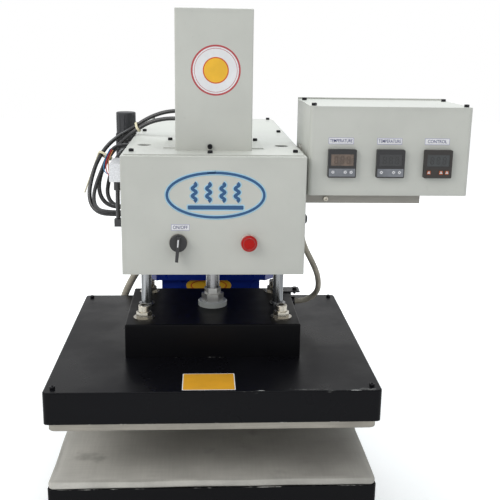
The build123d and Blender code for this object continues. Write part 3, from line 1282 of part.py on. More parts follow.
write(
    "air_hoses",
    cord("long hose", HOSE_LONG, HOSE_D),
    cord("short hose", HOSE_SHORT, HOSE_D),
    cord("regulator hose", REGULATOR_HOSE, HOSE_D),
    pin_z(*DROP_HOSE[0][:2], (DROP_HOSE[1][2], DROP_HOSE[0][2]), HOSE_D),
)
write("coil_cable", cord("coil cable", COIL_CABLE, CABLE_D))
write("valve_wires", *[cord("valve wire", route, WIRE_D) for route in WIRES])
write("heater_conduit", cord("heater conduit", HEATER_CONDUIT, HEATER_CONDUIT_D))
write("rear_conduit", cord("rear conduit", REAR_CONDUIT, REAR_CONDUIT_D))
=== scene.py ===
import math

import bmesh
import bpy
from mathutils import Matrix, Vector, noise


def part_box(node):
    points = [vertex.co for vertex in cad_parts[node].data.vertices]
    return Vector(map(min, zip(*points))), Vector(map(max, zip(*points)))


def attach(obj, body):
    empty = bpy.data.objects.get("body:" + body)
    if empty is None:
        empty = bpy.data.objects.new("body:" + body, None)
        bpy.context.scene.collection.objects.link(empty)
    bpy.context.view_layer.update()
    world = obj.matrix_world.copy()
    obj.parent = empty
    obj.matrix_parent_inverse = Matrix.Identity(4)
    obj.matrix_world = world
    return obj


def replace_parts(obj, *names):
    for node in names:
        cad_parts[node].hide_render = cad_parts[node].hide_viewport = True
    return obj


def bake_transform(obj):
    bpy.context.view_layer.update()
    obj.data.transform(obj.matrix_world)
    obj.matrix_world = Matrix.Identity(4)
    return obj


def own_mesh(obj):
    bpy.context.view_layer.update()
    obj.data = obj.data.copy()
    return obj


# Pneumatic fusing press. Metres; x to the right, y to the rear, z up, as in the CAD source.

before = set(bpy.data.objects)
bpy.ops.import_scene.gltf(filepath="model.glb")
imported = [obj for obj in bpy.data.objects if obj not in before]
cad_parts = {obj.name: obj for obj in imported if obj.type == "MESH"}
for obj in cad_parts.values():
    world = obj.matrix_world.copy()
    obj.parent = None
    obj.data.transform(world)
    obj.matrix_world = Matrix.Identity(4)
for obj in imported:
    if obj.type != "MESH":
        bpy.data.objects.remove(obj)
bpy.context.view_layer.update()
MM = 0.001

# Camera, at the photograph's viewpoint
CAMERA_AT = Vector((-0.0178, -1.5997, 0.8791))
CAMERA_YAW = -0.0619
CAMERA_PITCH = 0.2467
CAMERA_ROLL = -0.0162
LENS = 58.05
SENSOR = 36.0
SHIFT = (-0.0034, -0.0048)

# Light: name, place, size, power and colour of each lamp
WORLD_LIGHT = 0.5
FLOOR_GLOW = (0.3, 0.57)       # under the machine, and away from it
FLOOR_GLOW_RADII = (0.5, 1.3)
LAMPS = [
    ("key", (-2.3, -2.0, 2.5), 2.2, 54, (1.0, 0.985, 0.95)),
    ("fill", (2.6, -2.0, 1.8), 2.6, 14, (1.0, 0.97, 0.92)),
    ("top", (0.3, 0.6, 3.4), 2.4, 66, (0.93, 0.99, 1.0)),
]
LAMPS_AIM = Vector((0, 0, 0.45))

# Colours, linear
OFF_WHITE = (0.545, 0.552, 0.515)
CHARCOAL = (0.0042, 0.0042, 0.0056)
NEAR_BLACK = (0.0035, 0.0035, 0.0045)
COLUMN_BLUE = (0.008, 0.028, 0.26)
BASE_BLACK = (0.012, 0.012, 0.014)
PRIMER = (0.20, 0.20, 0.21)
BARE_STEEL = (0.42, 0.41, 0.39)
SOOT = (0.05, 0.045, 0.04)
SCUFF_PALE = (0.45, 0.45, 0.44)
# The box's off-white, darkened as painted shade for the bracket under the control box
BRACKET_IN_SHADE = (0.31, 0.295, 0.265)
PANEL_GREY = (0.20, 0.21, 0.235)
PALE_PAINT = (0.52, 0.54, 0.52)
CLOTH_GREY = (0.66, 0.64, 0.59)
CLOTH_DARK = (0.19, 0.18, 0.165)
LABEL_WHITE = (0.78, 0.78, 0.80)
LABEL_BLUE = (0.008, 0.012, 0.13)
LABEL_EDGE = (0.34, 0.33, 0.50)
SIGN_BLUE = (0.012, 0.075, 0.20)
SIGN_HALO = (0.36, 0.58, 0.72)
AMBER = (0.70, 0.34, 0.022)
YELLOW = (0.85, 0.48, 0.03)
ORANGE_RED = (0.62, 0.10, 0.02)
STICKER_RED = (0.45, 0.06, 0.07)
RED = (0.42, 0.007, 0.005)

# Routes of the cords, in millimetres, as in the CAD source
HOSE_LONG = [
    (-24, -39, 748), (-24, -14, 748), (-36, 8, 749), (-60, 20, 750), (-88, 25, 748), (-114, 33, 740),
    (-139, 41, 727), (-161, 41, 711), (-187, 29, 698), (-209, 9, 680), (-226, -14, 652), (-235, -31, 622),
    (-239, -45, 594), (-233, -57, 572), (-217, -65, 560), (-194, -66, 558), (-166, -66, 558),
]
HOSE_SHORT = [
    (-44, -39, 734), (-44, -18, 734), (-54, 0, 735), (-77, 10, 736), (-103, 15, 733), (-128, 23, 725),
    (-151, 28, 711), (-175, 20, 692), (-198, 2, 669), (-214, -18, 641), (-221, -34, 613), (-218, -43, 591),
    (-207, -48, 576), (-189, -50, 569), (-166, -50, 569),
]
REGULATOR_HOSE = [
    (-178, 70, 672), (-178, 45, 672), (-188, 26, 660), (-199, 6, 637), (-205, -9, 611), (-207, -20, 590),
    (-199, -29, 574), (-183, -33, 566), (-162, -33, 566),
]
COIL_CABLE = [
    (-164, -2, 684), (-182, -2, 684), (-196, -8, 677), (-206, -18, 660), (-215, -31, 638), (-224, -45, 614),
    (-229, -59, 590), (-222, -75, 571), (-202, -84, 566), (-166, -84, 566),
]
DROP_HOSE = [(-175, -124, 616), (-175.4, -124, 598), (-175.4, -124, 580), (-175, -124, 562)]
WIRES = {
    "wire_red": [(-196.4, -13.9, 676.4), (-203.9, -21.4, 663.6), (-207, -33, 647), (-203, -43, 633),
                 (-194, -48, 627), (-181.8, -48, 627)],
    "wire_orange": [(-194.0, -12.9, 674.4), (-201.5, -20.4, 661.7), (-202, -35, 646), (-198, -46, 631),
                    (-192, -52, 623), (-181.8, -52, 623)],
    "wire_blue": [(-199.2, -12.9, 677.5), (-206.7, -20.4, 664.7), (-211, -33, 646), (-208, -42, 635),
                  (-196, -44, 631), (-181.8, -44, 631)],
}
HEATER_CONDUIT = [
    (171, -92, 548), (171, -92, 522), (180, -91, 496), (195, -87, 469), (208, -79, 440), (212, -70, 411),
    (206, -62, 395), (195, -56, 384), (180, -53, 378), (166, -53, 378),
]
REAR_CONDUIT = [
    (-126, 155, 494), (-126, 155, 458), (-143, 155, 415), (-172, 156, 373), (-195, 156, 328),
    (-206, 156, 283), (-206, 155, 237), (-200, 153, 203), (-187, 151, 174), (-171, 150, 147),
    (-160, 150, 122), (-160, 150, 97),
]


# Camera and cords

def make_camera():
    """The photograph's camera: yaw to the left, pitch down, and a slight roll."""
    forward = Vector((
        -math.sin(CAMERA_YAW) * math.cos(CAMERA_PITCH),
        math.cos(CAMERA_YAW) * math.cos(CAMERA_PITCH),
        -math.sin(CAMERA_PITCH),
    ))
    right = Vector((math.cos(CAMERA_YAW), math.sin(CAMERA_YAW), 0))
    down = forward.cross(right)
    turned_right = math.cos(CAMERA_ROLL) * right + math.sin(CAMERA_ROLL) * down
    turned_down = -math.sin(CAMERA_ROLL) * right + math.cos(CAMERA_ROLL) * down
    data = bpy.data.cameras.new("photo_camera")
    data.lens = LENS
    data.sensor_width = SENSOR
    data.shift_x, data.shift_y = SHIFT
    camera = link("photo_camera", data)
    axes = Matrix((turned_right, -turned_down, -forward)).transposed()
    camera.matrix_world = Matrix.Translation(CAMERA_AT) @ axes.to_4x4()
    bpy.context.scene.camera = camera


def smooth_curve(name, route, diameter, resolution=10, bevel_resolution=6):
    """A round smooth curve, in millimetres, that has the route's points as its control points."""
    data = bpy.data.curves.new(name, "CURVE")
    data.dimensions = "3D"
    spline = data.splines.new("NURBS")
    spline.points.add(len(route) - 1)
    for point, at in zip(spline.points, route):
        point.co = (*(Vector(at) * MM), 1)
    spline.order_u = 3
    spline.use_endpoint_u = True
    data.resolution_u = resolution
    data.bevel_depth = diameter / 2 * MM
    data.bevel_resolution = bevel_resolution
    data.use_fill_caps = True
    return data


def curve_mesh(name, data):
    """The mesh that a curve or a text makes."""
    helper = bpy.data.objects.new(name, data)
    mesh = bpy.data.meshes.new_from_object(helper)
    bpy.data.objects.remove(helper)
    return mesh


def link(name, data, material=None):
    """Puts an object of this data, with its material, in the scene."""
    piece = bpy.data.objects.new(name, data)
    bpy.context.scene.collection.objects.link(piece)
    if material:
        data.materials.append(material)
    return piece


def place(name, data, material, body):
    """Links a finished piece with its material, and gives it its body."""
    piece = link(name, data, material)
    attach(piece, body)
    return piece


def hang_cord(name, route, diameter, material, node):
    """A free cord that leaves the machine and goes back into it."""
    cord = place(name, smooth_curve(name, route, diameter), material, "machine")
    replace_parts(cord, node)


def bridge_cord(name, route, diameter, material, node):
    """The conduit that crosses from the head to the moving platen: a mesh tube along its route between them.
    """
    data = smooth_curve(name, route, diameter)
    bare = data.copy()
    bare.bevel_depth = 0
    path = [tuple(v.co) for v in curve_mesh(name + "_line", bare).vertices]
    piece = link(name, curve_mesh(name + "_tube", data), material)
    for face in piece.data.polygons:
        face.use_smooth = True
    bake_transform(piece)
    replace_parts(piece, node)


# Shader node groups

def new_group(name, inputs, outputs):
    """An empty shader node group: an input without a default is a vector, all other sockets are values."""
    group = bpy.data.node_groups.new(name, "ShaderNodeTree")
    for socket_name, default in inputs.items():
        kind = "NodeSocketVector" if default is None else "NodeSocketFloat"
        socket = group.interface.new_socket(socket_name, in_out="INPUT", socket_type=kind)
        if default is not None:
            socket.default_value = default
    for socket_name in outputs:
        group.interface.new_socket(socket_name, in_out="OUTPUT", socket_type="NodeSocketFloat")
    return group, group.nodes.new("NodeGroupInput"), group.nodes.new("NodeGroupOutput")


def math_node(tree, operation, a, b=None, clamp=False):
    """A Math node on two values or sockets; returns its output."""
    node = tree.nodes.new("ShaderNodeMath")
    node.operation = operation
    node.use_clamp = clamp
    for socket, value in zip(node.inputs, (a, b)):
        if isinstance(value, (int, float)):
            socket.default_value = value
        elif value is not None:
            tree.links.new(value, socket)
    return node.outputs[0]


def vector_node(tree, operation, a, b=None):
    """A Vector Math node on one or two sockets; returns its output."""
    node = tree.nodes.new("ShaderNodeVectorMath")
    node.operation = operation
    for socket, value in zip(node.inputs, (a, b)):
        if value is not None:
            tree.links.new(value, socket)
    return node.outputs[0]


def noise_node(tree, vector, scale, detail=3.0, roughness=0.55, stretch=None):
    """A Noise texture's value, on a vector that may be stretched first."""
    if stretch:
        mapping = tree.nodes.new("ShaderNodeMapping")
        mapping.inputs["Scale"].default_value = stretch
        tree.links.new(vector, mapping.inputs["Vector"])
        vector = mapping.outputs[0]
    node = tree.nodes.new("ShaderNodeTexNoise")
    node.inputs["Detail"].default_value = detail
    node.inputs["Roughness"].default_value = roughness
    if isinstance(scale, (int, float)):
        node.inputs["Scale"].default_value = scale
    else:
        tree.links.new(scale, node.inputs["Scale"])
    tree.links.new(vector, node.inputs["Vector"])
    return node.outputs["Fac"]


def ramp(tree, value, low, high, out_low=0.0, out_high=1.0):
    """A value mapped smoothly from one range to another and clamped."""
    node = tree.nodes.new("ShaderNodeMapRange")
    node.interpolation_type = "SMOOTHSTEP"
    for name, x in (("From Min", low), ("From Max", high), ("To Min", out_low), ("To Max", out_high)):
        node.inputs[name].default_value = x
    tree.links.new(value, node.inputs["Value"])
    return node.outputs["Result"]


def mix_colour(tree, factor, a, b):
    """A colour mix; a and b are colours or sockets."""
    node = tree.nodes.new("ShaderNodeMix")
    node.data_type = "RGBA"
    for socket, value in ((node.inputs[0], factor), (node.inputs[6], a), (node.inputs[7], b)):
        if isinstance(value, (int, float)):
            socket.default_value = value
        elif isinstance(value, tuple):
            socket.default_value = (*value[:3], 1)
        else:
            tree.links.new(value, socket)
    return node.outputs[2]


def tint(tree, base, mask, amount, colour):
    """Lays a colour over a base by a mask times an amount."""
    return mix_colour(tree, math_node(tree, "MULTIPLY", mask, amount), base, colour)


def rest_of(tree, mask):
    """1 minus a mask, clamped."""
    return math_node(tree, "SUBTRACT", 1.0, mask, True)


def depth_in_box(group, given):
    """How far inside the faces of a box a point lies, along x, y and z."""
    away = vector_node(group, "SUBTRACT", given.outputs["Vector"], given.outputs["Centre"])
    depth = vector_node(group, "SUBTRACT", given.outputs["Half Size"], vector_node(group, "ABSOLUTE", away))
    split = group.nodes.new("ShaderNodeSeparateXYZ")
    group.links.new(depth, split.inputs[0])
    return split.outputs


def wear_group():
    """Worn paint along a sheet-metal box's edges: a mask from how near two of its faces a point lies."""
    inputs = {"Vector": None, "Centre": None, "Half Size": None, "Width": 0.002, "Amount": 0.5}
    group, given, result = new_group("edge_wear", inputs, ("Mask", "Grime"))
    x, y, z = depth_in_box(group, given)
    nearer = math_node(group, "MINIMUM", x, y)
    farther = math_node(group, "MAXIMUM", x, y)
    second = math_node(group, "MAXIMUM", nearer, math_node(group, "MINIMUM", farther, z))
    near_edge = rest_of(group, math_node(group, "DIVIDE", second, given.outputs["Width"]))
    patches = noise_node(group, given.outputs["Vector"], 34.0, 5.0, 0.65)
    limit = math_node(group, "SUBTRACT", 0.82, math_node(group, "MULTIPLY", given.outputs["Amount"], 0.4))
    chips = math_node(group, "ADD", patches, math_node(group, "MULTIPLY", near_edge, 0.22))
    chips = math_node(group, "MULTIPLY", math_node(group, "SUBTRACT", chips, limit), 18.0, True)
    group.links.new(math_node(group, "MULTIPLY", chips, near_edge, True), result.inputs["Mask"])
    grime_width = math_node(group, "MULTIPLY", given.outputs["Width"], 9.0)
    wide = rest_of(group, math_node(group, "DIVIDE", second, grime_width))
    group.links.new(math_node(group, "MULTIPLY", wide, patches), result.inputs["Grime"])
    return group


def inside_group():
    """A mask that is 1 inside a box and fades out over its softness."""
    inputs = {"Vector": None, "Centre": None, "Half Size": None, "Softness": 0.0005}
    group, given, result = new_group("inside_box", inputs, ("Mask",))
    x, y, z = depth_in_box(group, given)
    least = math_node(group, "MINIMUM", x, math_node(group, "MINIMUM", y, z))
    mask = math_node(group, "DIVIDE", least, given.outputs["Softness"], True)
    group.links.new(mask, result.inputs["Mask"])
    return group


def mottle_group():
    """Large soft clouds, small specks and fine grain, for colour and roughness that vary over a surface."""
    group, given, result = new_group("mottle", {"Vector": None, "Scale": 8.0}, ("Clouds", "Specks", "Grain"))
    scale = given.outputs["Scale"]
    clouds = noise_node(group, given.outputs["Vector"], scale, 4.0, 0.6)
    group.links.new(ramp(group, clouds, 0.3, 0.7), result.inputs["Clouds"])
    specks = noise_node(group, given.outputs["Vector"], math_node(group, "MULTIPLY", scale, 22.0), 2.0, 0.5)
    group.links.new(ramp(group, specks, 0.66, 0.78), result.inputs["Specks"])
    grain = noise_node(group, given.outputs["Vector"], math_node(group, "MULTIPLY", scale, 90.0), 2.0, 0.5)
    group.links.new(grain, result.inputs["Grain"])
    return group


def weave_group():
    """A plain weave on object coordinates: the height of crossing threads, and their shade."""
    inputs = {"Vector": None, "Threads per Metre": 900.0}
    group, given, result = new_group("weave", inputs, ("Height", "Shade"))
    scaled = group.nodes.new("ShaderNodeVectorMath")
    scaled.operation = "SCALE"
    group.links.new(given.outputs["Vector"], scaled.inputs[0])
    group.links.new(math_node(group, "MULTIPLY", given.outputs["Threads per Metre"], math.pi),
                    scaled.inputs["Scale"])
    split = group.nodes.new("ShaderNodeSeparateXYZ")
    group.links.new(scaled.outputs[0], split.inputs[0])
    x, y, z = split.outputs
    along = math_node(group, "SINE", x)
    across = math_node(group, "SINE", math_node(group, "ADD", y, z))
    height = math_node(group, "MULTIPLY", math_node(group, "ABSOLUTE", along),
                       math_node(group, "ABSOLUTE", across))
    group.links.new(height, result.inputs["Height"])
    threads = noise_node(group, given.outputs["Vector"], 260.0, 2.0, 0.5, stretch=(1.0, 0.06, 1.0))
    others = noise_node(group, given.outputs["Vector"], 260.0, 2.0, 0.5, stretch=(0.06, 1.0, 1.0))
    group.links.new(math_node(group, "MULTIPLY", math_node(group, "ADD", threads, others), 0.5),
                    result.inputs["Shade"])
    return group


WEAR = wear_group()
MOTTLE = mottle_group()
INSIDE = inside_group()
WEAVE = weave_group()


# Materials

class Finish:
    """A material with its Principled shader and object coordinates, filled in by the functions below."""

    def __init__(self, name, colour, roughness, metallic=0.0, coat=0.0, specular=0.5):
        self.material = bpy.data.materials.new(name)
        self.material.use_nodes = True
        self.material.diffuse_color = (*colour, 1)
        self.tree = self.material.node_tree
        self.shader = self.tree.nodes["Principled BSDF"]
        for name, value in (("Base Color", (*colour, 1)), ("Roughness", roughness), ("Metallic", metallic),
                            ("Coat Weight", coat), ("Coat Roughness", 0.2), ("Specular IOR Level", specular)):
            self.shader.inputs[name].default_value = value
        self.where = self.tree.nodes.new("ShaderNodeTexCoord").outputs["Object"]

    def group(self, group, **values):
        """Places a node group on the object's coordinates, with its values."""
        node = self.tree.nodes.new("ShaderNodeGroup")
        node.node_tree = group
        self.tree.links.new(self.where, node.inputs["Vector"])
        for name, value in values.items():
            node.inputs[name.replace("_", " ")].default_value = value
        return node.outputs

    def colour(self, socket):
        self.tree.links.new(socket, self.shader.inputs["Base Color"])

    def rough(self, value, low, high, start=0.0, end=1.0):
        """Roughness from low to high as a value goes from start to end."""
        self.tree.links.new(ramp(self.tree, value, start, end, low, high), self.shader.inputs["Roughness"])

    def metal(self, socket):
        self.tree.links.new(socket, self.shader.inputs["Metallic"])

    def bump(self, height, distance, strength=1.0):
        node = self.tree.nodes.new("ShaderNodeBump")
        node.inputs["Strength"].default_value = strength
        node.inputs["Distance"].default_value = distance
        self.tree.links.new(height, node.inputs["Height"])
        self.tree.links.new(node.outputs[0], self.shader.inputs["Normal"])


# Depths of fine bumps
ORANGE_PEEL = 0.00003
TOOL_MARKS = 0.00002
PRINT_GRAIN = 0.00001


def shade(colour, factor):
    """A darker or lighter colour."""
    return tuple(min(1.0, c * factor) for c in colour)


def painted(name, node, colour, under, roughness, wear, width=0.0022, coat=0.0, cloud=0.10, scuffs=None,
            specular=0.5):
    """Paint on a sheet or plate: soft clouds, faint grime, chipped edges, and scuffs inside a box."""
    low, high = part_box(node)
    finish = Finish(name, colour, roughness, coat=coat, specular=specular)
    tree = finish.tree
    mottle = finish.group(MOTTLE, Scale=7.0)
    worn = finish.group(WEAR, Centre=tuple((low + high) / 2), Half_Size=tuple((high - low) / 2),
                        Width=width, Amount=wear)
    base = mix_colour(tree, mottle["Clouds"], shade(colour, 1 - cloud), shade(colour, 1 + cloud * 0.5))
    base = tint(tree, base, mottle["Specks"], 0.12, shade(colour, 0.45))
    base = tint(tree, base, worn["Grime"], 0.25, shade(colour, 0.6))
    base = mix_colour(tree, worn["Mask"], base, under)
    if scuffs:
        centre, half = scuffs
        zone = finish.group(INSIDE, Centre=centre, Half_Size=half, Softness=0.006)["Mask"]
        scratches = noise_node(tree, finish.where, 60.0, 5.0, 0.72, stretch=(0.35, 3.0, 3.0))
        base = tint(tree, base, zone, ramp(tree, scratches, 0.59, 0.66), SCUFF_PALE)
    finish.colour(base)
    finish.rough(mottle["Clouds"], roughness - 0.06, roughness + 0.08)
    finish.metal(math_node(tree, "MULTIPLY", worn["Mask"], 0.6))
    finish.bump(mottle["Grain"], ORANGE_PEEL)
    return finish.material


def metal(name, colour, roughness, grain=(1.0, 1.0, 1.0), stain=0.25, specks=0.2, contrast=0.14, fine=420.0):
    """Bare or plated metal with fine tool marks along the grain's long axis, and stains."""
    finish = Finish(name, colour, roughness, metallic=1.0)
    tree = finish.tree
    mottle = finish.group(MOTTLE, Scale=14.0)
    marks = noise_node(tree, finish.where, fine, 3.0, 0.6, stretch=grain)
    dark, pale = shade(colour, 1 - contrast), shade(colour, 1 + contrast)
    base = mix_colour(tree, ramp(tree, marks, 0.3, 0.7), dark, pale)
    base = tint(tree, base, mottle["Clouds"], stain, shade(colour, 0.55))
    base = tint(tree, base, mottle["Specks"], specks, SOOT)
    finish.colour(base)
    finish.rough(marks, roughness * 0.8, roughness * 1.25, 0.2, 0.8)
    finish.bump(marks, TOOL_MARKS)
    return finish.material


def plastic(name, colour, roughness, coat=0.0, grain=0.00002, cloud=0.08, specular=0.5):
    """Moulded plastic or rubber with a fine grain and slight shade changes."""
    finish = Finish(name, colour, roughness, coat=coat, specular=specular)
    tree = finish.tree
    mottle = finish.group(MOTTLE, Scale=26.0)
    base = mix_colour(tree, mottle["Clouds"], shade(colour, 1 - cloud), shade(colour, 1 + cloud))
    base = tint(tree, base, mottle["Specks"], 0.1, PRIMER)
    finish.colour(base)
    finish.rough(mottle["Clouds"], roughness * 0.85, roughness * 1.15)
    finish.bump(mottle["Grain"], grain)
    return finish.material


def label(name, colour, roughness=0.35):
    """A printed foil: almost even, with a faint print grain."""
    finish = Finish(name, colour, roughness)
    tree = finish.tree
    mottle = finish.group(MOTTLE, Scale=30.0)
    finish.colour(mix_colour(tree, mottle["Clouds"], shade(colour, 0.93), shade(colour, 1.04)))
    finish.bump(mottle["Grain"], PRINT_GRAIN)
    return finish.material


make_camera()

HOSE_BLACK = plastic("hose_black", (0.010, 0.010, 0.012), 0.28, coat=0.3)
CABLE_BLACK = plastic("cable_black", (0.016, 0.016, 0.018), 0.5)
SLEEVE_GREY = plastic("sleeve_grey", (0.36, 0.33, 0.27), 0.6, grain=0.0002, cloud=0.2)

hang_cord("hose_long", HOSE_LONG, 8, HOSE_BLACK, "air_hoses")
hang_cord("hose_short", HOSE_SHORT, 8, HOSE_BLACK, "air_hoses")
hang_cord("hose_regulator", REGULATOR_HOSE, 8, HOSE_BLACK, "air_hoses")
hang_cord("hose_drop", DROP_HOSE, 8, HOSE_BLACK, "air_hoses")
hang_cord("coil_cable_run", COIL_CABLE, 7, CABLE_BLACK, "coil_cable")
WIRE_COLOURS = {"wire_red": (0.40, 0.015, 0.02), "wire_orange": (0.52, 0.20, 0.07),
                "wire_blue": (0.03, 0.16, 0.34)}
for wire, route in WIRES.items():
    insulation = plastic(wire + "_insulation", WIRE_COLOURS[wire], 0.4)
    hang_cord(wire, route, 2, insulation, "valve_wires")
hang_cord("conduit_rear", REAR_CONDUIT, 16, SLEEVE_GREY, "rear_conduit")
bridge_cord("conduit_heater", HEATER_CONDUIT, 11, SLEEVE_GREY, "heater_conduit")


# Forms

FACING_FRONT = Matrix.Rotation(math.pi / 2, 4, "X")
FACING_UP = Matrix.Identity(4)
CAPITAL_SHARE = 0.7            # a capital's height in the built-in font's size
SCREW_HEAD_R = 0.0045
SCREW_HEAD_H = 0.0046
# Outline of a head with its socket, in shares of its radius and height
SCREW_HEAD = [(0, 0.4), (0.52, 0.4), (0.52, 0.97), (0.60, 1), (0.86, 1), (0.97, 0.90), (0.99, 0.12),
              (0.92, 0), (0.55, 0)]


def finish_form(name, form, turn, at, material, body="machine"):
    """Turns a form, puts it in its place, given in millimetres, and links it as a piece."""
    bmesh.ops.remove_doubles(form, verts=form.verts, dist=1e-7)
    bmesh.ops.recalc_face_normals(form, faces=form.faces)
    form.transform(Matrix.Translation(Vector(at) * MM) @ turn)
    mesh = bpy.data.meshes.new(name)
    form.to_mesh(mesh)
    form.free()
    return place(name, mesh, material, body)


def front_of(node):
    """The middle of a CAD node's front, in millimetres."""
    low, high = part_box(node)
    return Vector(((low.x + high.x) / 2, low.y, (low.z + high.z) / 2)) / MM


def raise_faces(form, thickness):
    """Gives flat faces a thickness, towards the viewer."""
    raised = bmesh.ops.extrude_face_region(form, geom=form.faces[:])
    moved = [v for v in raised["geom"] if isinstance(v, bmesh.types.BMVert)]
    bmesh.ops.translate(form, verts=moved, vec=(0, 0, thickness * MM))


def plate_form(width, height, radius, thickness):
    """A flat plate with round corners, in millimetres, facing up."""
    form = bmesh.new()
    bmesh.ops.create_grid(form, x_segments=1, y_segments=1, size=0.5)
    bmesh.ops.scale(form, verts=form.verts, vec=(width * MM, height * MM, 1))
    if radius:
        bmesh.ops.bevel(form, geom=form.verts[:], offset=radius * MM, affect="VERTICES", segments=6,
                        profile=0.5, material=-1)
    raise_faces(form, thickness)
    return form


def disc_form(width, height, thickness, sides):
    """A flat disc or oval, in millimetres, facing up."""
    form = bmesh.new()
    bmesh.ops.create_circle(form, cap_ends=True, segments=sides, radius=0.5)
    bmesh.ops.scale(form, verts=form.verts, vec=(width * MM, height * MM, 1))
    raise_faces(form, thickness)
    return form


def words(name, text, height, width, at):
    """Printed bold letters, 0.1 mm thick, of a real height and fitted to a width."""
    data = bpy.data.curves.new(name + "_letters", "FONT")
    data.body = text
    data.size = height * MM / CAPITAL_SHARE
    data.align_x = "CENTER"
    data.align_y = "CENTER"
    data.extrude = 0.05 * MM
    data.offset = 0.010 * height * MM
    form = bmesh.new()
    form.from_mesh(curve_mesh(name + "_letters", data))
    xs = [v.co.x for v in form.verts]
    bmesh.ops.scale(form, verts=form.verts, vec=(width * MM / (max(xs) - min(xs)), 1, 1))
    finish_form(name, form, FACING_FRONT, at, INK_BLUE)


def brush_stroke(name, points, width, thickness, at, material):
    """A flat painted stroke on the housing's front, along points in the drawing's plane."""
    data = smooth_curve(name + "_line", [(x, y, 0) for x, y in points], width, 8, 3)
    form = bmesh.new()
    form.from_mesh(curve_mesh(name + "_line", data))
    bmesh.ops.scale(form, verts=form.verts, vec=(1, 1, 2 * thickness / width))
    finish_form(name, form, FACING_FRONT, at, material)


def loose_boxes(node):
    """The lowest and highest corners of each separate solid in a CAD node, in metres."""
    form = bmesh.new()
    form.from_mesh(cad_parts[node].data)
    bmesh.ops.remove_doubles(form, verts=form.verts, dist=1e-6)
    left = set(form.verts)
    boxes = []
    while left:
        reached = {left.pop()}
        edge_of_it = list(reached)
        while edge_of_it:
            near = {e.other_vert(v) for v in edge_of_it for e in v.link_edges} & left
            left -= near
            reached |= near
            edge_of_it = list(near)
        low = Vector([min(v.co[i] for v in reached) for i in range(3)])
        high = Vector([max(v.co[i] for v in reached) for i in range(3)])
        boxes.append((low, high, [v.co.copy() for v in reached]))
    form.free()
    return boxes


def add_lathe(form, profile, turn, sides, socket=None):
    """Spins a profile of (radius, height) in metres about z; a socket's vertices go out to a hexagon."""
    start = len(form.verts)
    line = [form.verts.new((radius, 0, height)) for radius, height in profile]
    edges = [form.edges.new(pair) for pair in zip(line, line[1:])]
    bmesh.ops.spin(form, geom=line + edges, cent=(0, 0, 0), axis=(0, 0, 1), angle=2 * math.pi, steps=sides,
                   use_merge=True)
    form.verts.ensure_lookup_table()
    made = form.verts[start:]
    if socket:
        for v in made:
            radius = v.co.xy.length
            if 1e-6 < radius < socket * 1.01:
                turned = math.atan2(v.co.y, v.co.x) % (math.pi / 3) - math.pi / 6
                v.co.xy *= 1 / math.cos(turned) * math.cos(math.pi / 6) * 1.12
    bmesh.ops.transform(form, matrix=turn, verts=made)


def socket_screws(name, boxes, node, material, body):
    """Socket-head screws in place of a CAD node's plain ones: each is found from its solid's box."""
    form = bmesh.new()
    for low, high, points in boxes:
        size = high - low
        axis = max(range(3), key=lambda i: size[i])
        middle = (low + high) / 2
        spare = size[(axis + 1) % 3] / 2 * 0.95
        along = Vector([float(i == axis) for i in range(3)])
        wide = [p[axis] for p in points if (p - middle - along * (p - middle)[axis]).length > spare]
        head_up = sum(wide) / len(wide) > middle[axis]
        shank = size[axis] - SCREW_HEAD_H
        profile = [(SCREW_HEAD_R * r, SCREW_HEAD_H * h) for r, h in SCREW_HEAD]
        profile += [(SCREW_HEAD_R * 0.55, -shank * 0.96), (0, -shank)]
        pointing = Vector([0, 0, 0])
        pointing[axis] = 1 if head_up else -1
        seat = middle.copy()
        seat[axis] = (high[axis] - SCREW_HEAD_H) if head_up else (low[axis] + SCREW_HEAD_H)
        turn = pointing.to_track_quat("Z", "Y").to_matrix().to_4x4()
        add_lathe(form, profile, Matrix.Translation(seat) @ turn, 24, socket=SCREW_HEAD_R * 0.6)
    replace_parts(finish_form(name, form, FACING_UP, (0, 0, 0), material, body), node)


# Finishes of the CAD nodes

def dress(node, material):
    """Gives a CAD node its material."""
    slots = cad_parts[node].data.materials
    slots.clear()
    slots.append(material)


def paint(node, name, *colours_and_wear, **more):
    """Paints a CAD node."""
    dress(node, painted(name + "_paint", node, *colours_and_wear, **more))


for off_white_node in ("head_housing", "head_lid", "tower_cover", "control_box", "control_box_lid",
                       "control_box_back"):
    paint(off_white_node, off_white_node, OFF_WHITE, PRIMER, 0.36, -0.1, width=0.0012, cloud=0.05)
# The bracket has the box's off-white paint. Its darker grey is painted shade under the control box.
paint("control_box_bracket", "bracket", BRACKET_IN_SHADE, PRIMER, 0.42, 0.1)
cover_low, cover_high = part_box("platen_cover")
cover_scuffs = ((0.165, cover_low.y + 0.004, cover_high.z), (0.10, 0.011, 0.0075))
paint("platen_cover", "platen_cover", CHARCOAL, BARE_STEEL, 0.32, 0.15, scuffs=cover_scuffs, specular=0.08)
paint("riser_box", "riser", NEAR_BLACK, BARE_STEEL, 0.42, 0.05, width=0.0018, specular=0.08)
paint("bed_tray", "tray", NEAR_BLACK, BARE_STEEL, 0.42, 0.2, specular=0.08)
for blue_node in ("column", "upper_frame"):
    paint(blue_node, blue_node, COLUMN_BLUE, PRIMER, 0.3, 0.3, coat=0.4)
paint("base_frame", "base", BASE_BLACK, BARE_STEEL, 0.42, 0.5, specular=0.25)

